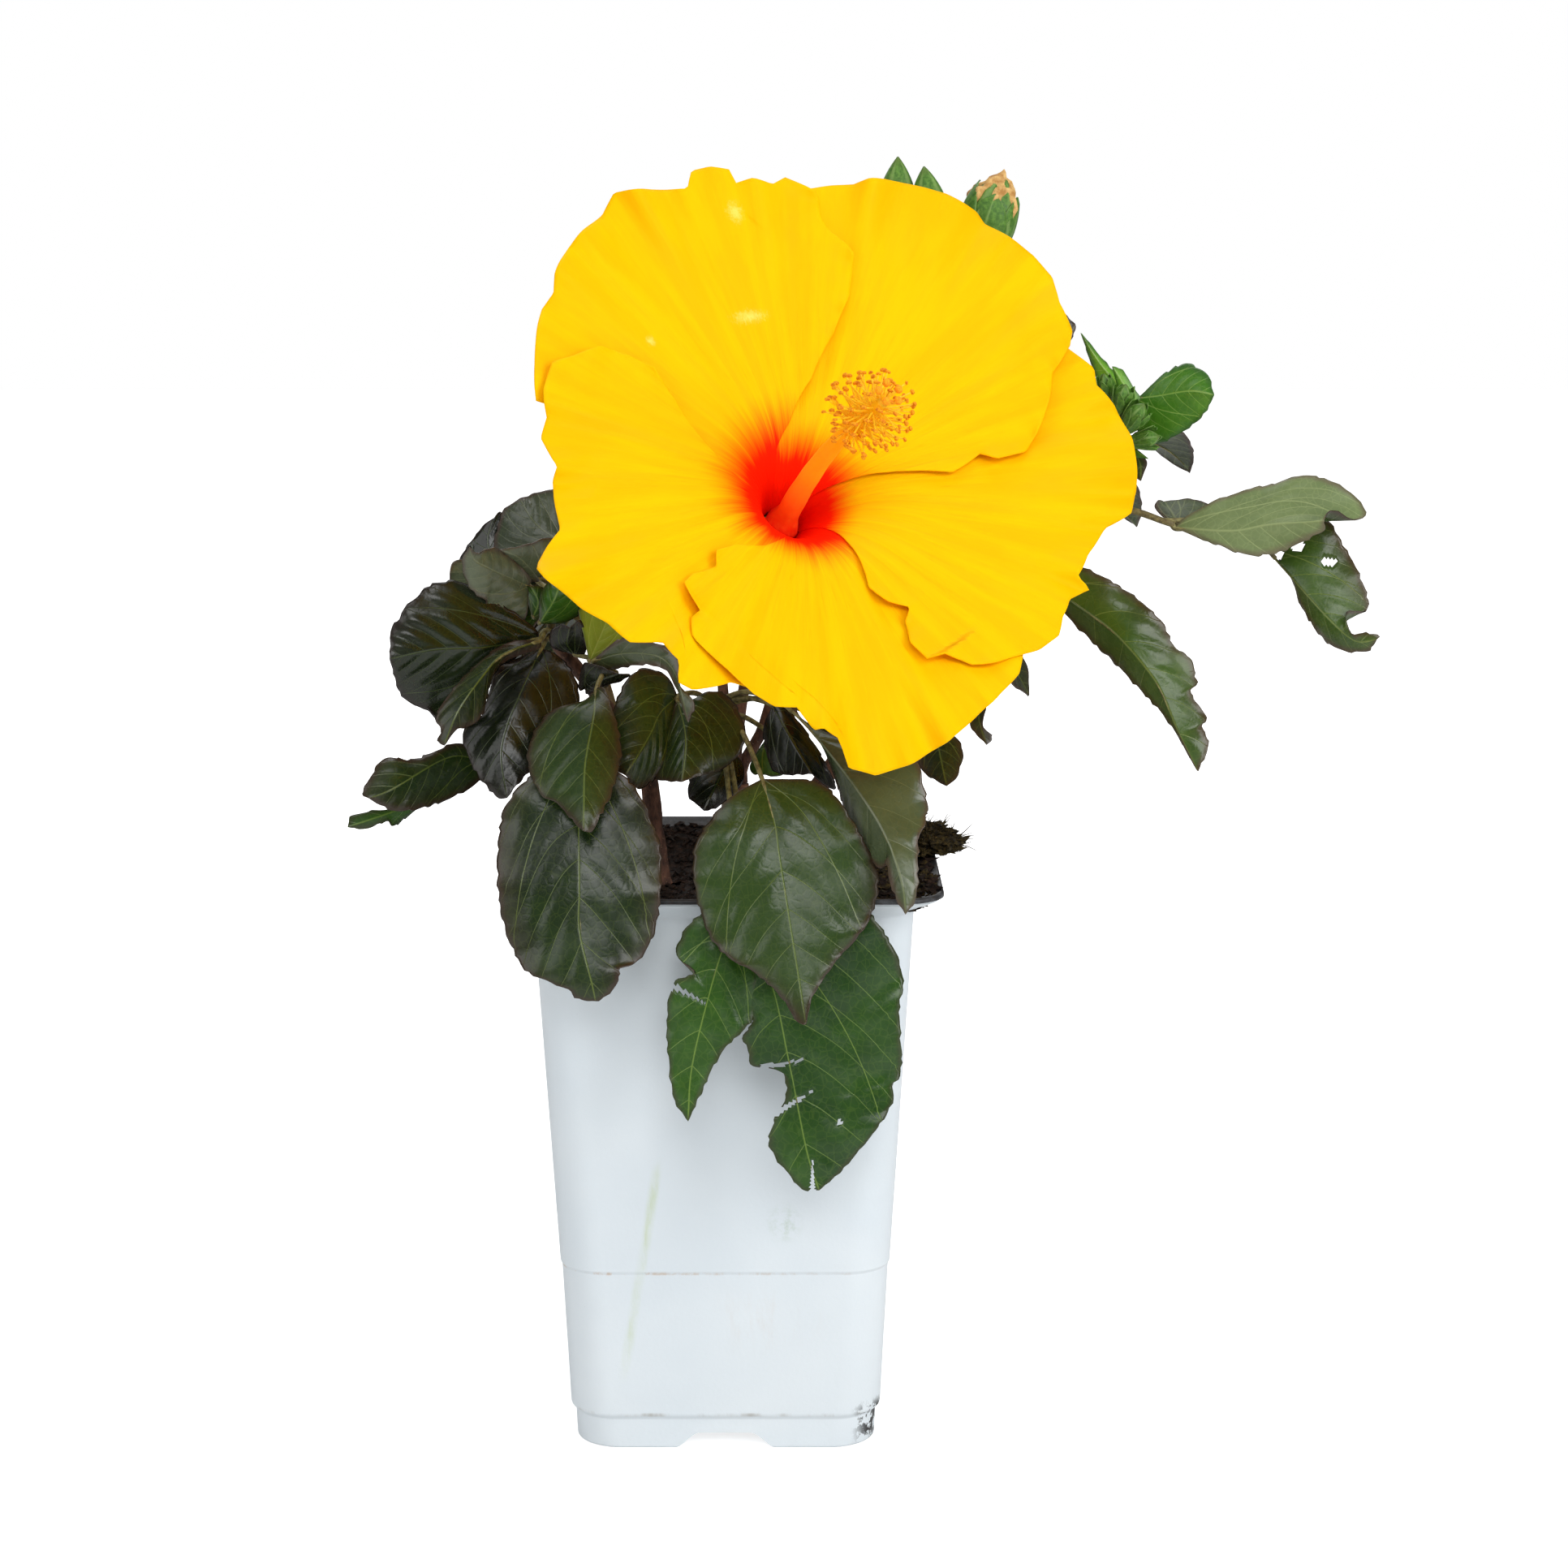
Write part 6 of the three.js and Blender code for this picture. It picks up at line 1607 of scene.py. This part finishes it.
def kidney(centre, axis, size):
    """The tube of an anther: a small bent bean across the end of its filament."""
    side = unit(np.cross(axis, vec(0.3, 0.5, 0.8)))
    points = [centre - side * size, centre - side * size * 0.5 + axis * size * 0.35,
              centre + side * size * 0.5 + axis * size * 0.35, centre + side * size]
    return points, lambda t: size * 0.62 * math.sin(math.pi * (0.12 + 0.76 * t)) ** 0.6, 8, 6


def make_column():
    """The column with its stamens all round, and the five stigmas at its tip."""
    column, anthers, threads, stigmas = Mesh(), Mesh(), Mesh(), Mesh()
    line = Curve([axis_point(t) for t in (0, 0.25, 0.5, 0.75, 1)])

    def radius(t):
        return (lerp(3.7, 1.6, t) + 1.7 * (1 - float(smooth(t, 0, 0.1)))) * (1 + 0.02 * math.sin(40 * t))

    def ridges(t, a, length):
        return 0.05 * math.sin(5 * a) * (1 - t)

    column.add_tube(line, radius, 24, 60, ridges)
    rng = random.Random(9)
    for i in range(STAMENS["count"]):
        height = 1 - 2 * (i + 0.5) / STAMENS["count"]
        angle = math.radians(GOLDEN_ANGLE * i)
        level = math.sqrt(1 - height * height)
        side = flower_point(level, angle, 0) - THROAT
        direction = unit(side + OUT * (height * 0.85 + 0.05))
        start = axis_point(lerp(STAMENS["low"], 0.97, 0.5 + 0.5 * height))
        end = axis_point(STAMENS["centre"]) + direction * STAMENS["reach"] * rng.uniform(0.78, 1.06)
        middle = (start + end) / 2 + OUT * rng.uniform(-0.6, 1.2)
        threads.add_tube([start, middle, end], taper(0.34, 0.22), 5, 8)
        anthers.add_tube(*kidney(end, unit(end - middle), rng.uniform(0.72, 1.02)))
    for i in range(5):
        angle = math.radians(72 * i + 20)
        side = flower_point(1, angle, 0) - THROAT
        direction = unit(side * 0.55 + OUT * 0.85)
        start = axis_point(0.99)
        end = start + direction * 6
        threads.add_tube([start, start + direction * 3 + OUT * 0.5, end], taper(0.45, 0.4), 6, 8)
        lump = [d * (1 + 0.22 * noise.noise(Vector(d * 5 + vec(i, 0, 0)))) for d in ball(10, 14)]
        stigmas.add([end + 1.15 * p for p in lump], ring_faces(10, 14, True))
    column.build("column_tube", [COLUMN_SKIN], "filament", ["bloom_column"])
    threads.build("column_filaments", [FILAMENT], "filament")
    anthers.build("column_anthers", [ANTHER], "filament")
    stigmas.build("column_stigmas", [STIGMA], "filament")


make_column()


def make_calyx():
    """The cup with five lobes under the petals, its stalk and its narrow bracts, in one piece."""
    length, neck, belly, lobe, gap, wall = 33, 2.0, 8.2, 13, 1.4, 1.2
    floor = TUBE_RADIUS + 1

    def outside(height, clear):
        point = midline[np.argmax(midline[:, 1] >= height)]
        return point[0] + 1.2 + clear

    profile = np.array([
        (0.2, -length), (neck, -length), (belly * 0.8, -length * 0.72), (belly, -length * 0.35),
        (floor + wall + 1, -2 * CLEARANCE), (outside(lobe * 0.5, gap + wall), lobe * 0.5),
        (outside(lobe, gap + 0.8 * wall), lobe), (outside(lobe, gap), lobe),
        (outside(lobe * 0.5, gap), lobe * 0.5),
        (floor + 0.4, -2 * CLEARANCE), (0.2, -2 * CLEARANCE)])
    fine = []
    for a, b in zip(profile, profile[1:]):
        steps = max(1, int(np.linalg.norm(b - a) / 1.3))
        fine += [lerp(a, b, k / steps) for k in range(steps)]
    fine.append(profile[-1])
    sides = 100
    verts, share, ribs = [], [], []
    for r, y in fine:
        for k in range(sides):
            angle = 2 * math.pi * k / sides
            wave = 0.5 + 0.5 * math.cos(5 * angle)
            height = y * (0.3 + 0.7 * wave**0.8) if y > 0 else y
            radius = r - (y - height) * 0.55 if y > 0 else r
            rib = abs(math.cos(5 * angle)) ** 6
            radius *= 1 + 0.035 * rib * (1 if y < lobe * 0.9 else 0)
            verts.append(flower_point(radius, angle, height))
            share.append(np.clip((height + length) / (length + lobe), 0, 1) * 0.8)
            ribs.append(rib)
    calyx = Mesh()
    calyx.add(verts, ring_faces(len(fine) - 1, sides), share=share, ribs=ribs)
    stalk = [*beyond_tip("bough_bloom"), flower_point(0, 0, -length - 8), flower_point(0, 0, -length + 2)]
    body, skin, along = tube(stalk, taper(1.7, 1.9), 12, 30)
    calyx.add(body, skin, share=along * 0.2, ribs=0.0)
    for k in range(7):
        angle = 2 * math.pi * k / 7 + 0.2
        bract = ((1.6, 1), (8.2, 0.78), (12.4, 0.5), (13.5, 0.28))
        line = [flower_point(out, angle, -length * down) for out, down in bract]
        body, skin, along = tube(line, lambda t: 1.25 * (1 - t) ** 0.7 + 0.1, 8, 12)
        calyx.add(body, skin, share=along * 0.3, ribs=0.3)
    calyx.build("bloom_cup", [CALYX_SKIN], "sepal", ["bloom_calyx"])


make_calyx()

# ---------------------------------------------------------------- stage, light and camera


def make_stage():
    """A paper floor that looks nearly white."""
    mesh = bpy.data.meshes.new("floor")
    size = 6.0
    corners = [(-size, -size, 0), (size, -size, 0), (size, size, 0), (-size, size, 0)]
    mesh.from_pydata(corners, [], [(0, 1, 2, 3)])
    floor = placed("floor", mesh)
    s = Shader("floor_paper", Specular_IOR_Level=0.1)
    grain = s.noise(60, 3, 0.6)
    colour = s.mix(s.range(grain, 0.3, 0.7), (0.86, 0.86, 0.86, 1), (0.88, 0.88, 0.88, 1))
    s.put(s.bsdf.inputs["Emission Color"], (1, 1, 1, 1))
    seen = s.node("ShaderNodeLightPath", output="Is Camera Ray")
    away = s.node("ShaderNodeVectorMath", [s.place()], "Value", operation="LENGTH")
    s.put(s.bsdf.inputs["Emission Strength"], seen * s.range(away, 0.3, 2.0, 0.72, 1.0))
    s.finish(colour, s.range(grain, 0.3, 0.7, 0.85, 0.95))
    mesh.materials.append(s.material)


make_stage()
# Softboxes: where each one is, the height on the axis that it looks at, its size and its power.
SOFTBOXES = {
    "left": ((-1.15, -0.95, 0.95), 0.25, (0.9, 1.2), 7),
    "right": ((1.25, -0.95, 0.9), 0.22, (0.8, 1.2), 16),
    "front": ((0.15, -1.9, 1.4), 0.2, (1.1, 0.8), 15),
    "top": ((0.0, 0.35, 1.7), 0.2, (1.4, 1.2), 10),
    "back": ((-0.3, 1.7, 1.1), 0.22, (1.2, 1.0), 9),
}
for name, (location, aim, size, power) in SOFTBOXES.items():
    data = bpy.data.lights.new("softbox_" + name, "AREA")
    data.shape = "RECTANGLE"
    data.size, data.size_y = size
    data.energy = power
    light = placed("softbox_" + name, data)
    light.location = location
    light.rotation_euler = (Vector((0, 0, aim)) - Vector(location)).to_track_quat("-Z", "Y").to_euler()

# The world looks white to the camera and lights the plant weakly.
world = bpy.data.worlds.new("studio")
bpy.context.scene.world = world
world.use_nodes = True
tree = world.node_tree
background = tree.nodes["Background"]
background.inputs["Color"].default_value = (1, 1, 1, 1)
path = tree.nodes.new("ShaderNodeLightPath")
strength = tree.nodes.new("ShaderNodeMapRange")
strength.inputs["To Min"].default_value = 0.2
strength.inputs["To Max"].default_value = 1.0
tree.links.new(path.outputs["Is Camera Ray"], strength.inputs["Value"])
tree.links.new(strength.outputs[0], background.inputs["Strength"])

scene = bpy.context.scene
scene.view_settings.view_transform = "Standard"
camera_data = bpy.data.cameras.new("camera")
camera_data.sensor_width = 36
camera_data.lens = 72.99
camera = placed("camera", camera_data)
camera.location = (0.0185, -0.995, 0.383)
camera.rotation_euler = (math.radians(79.8), 0, 0)
scene.camera = camera
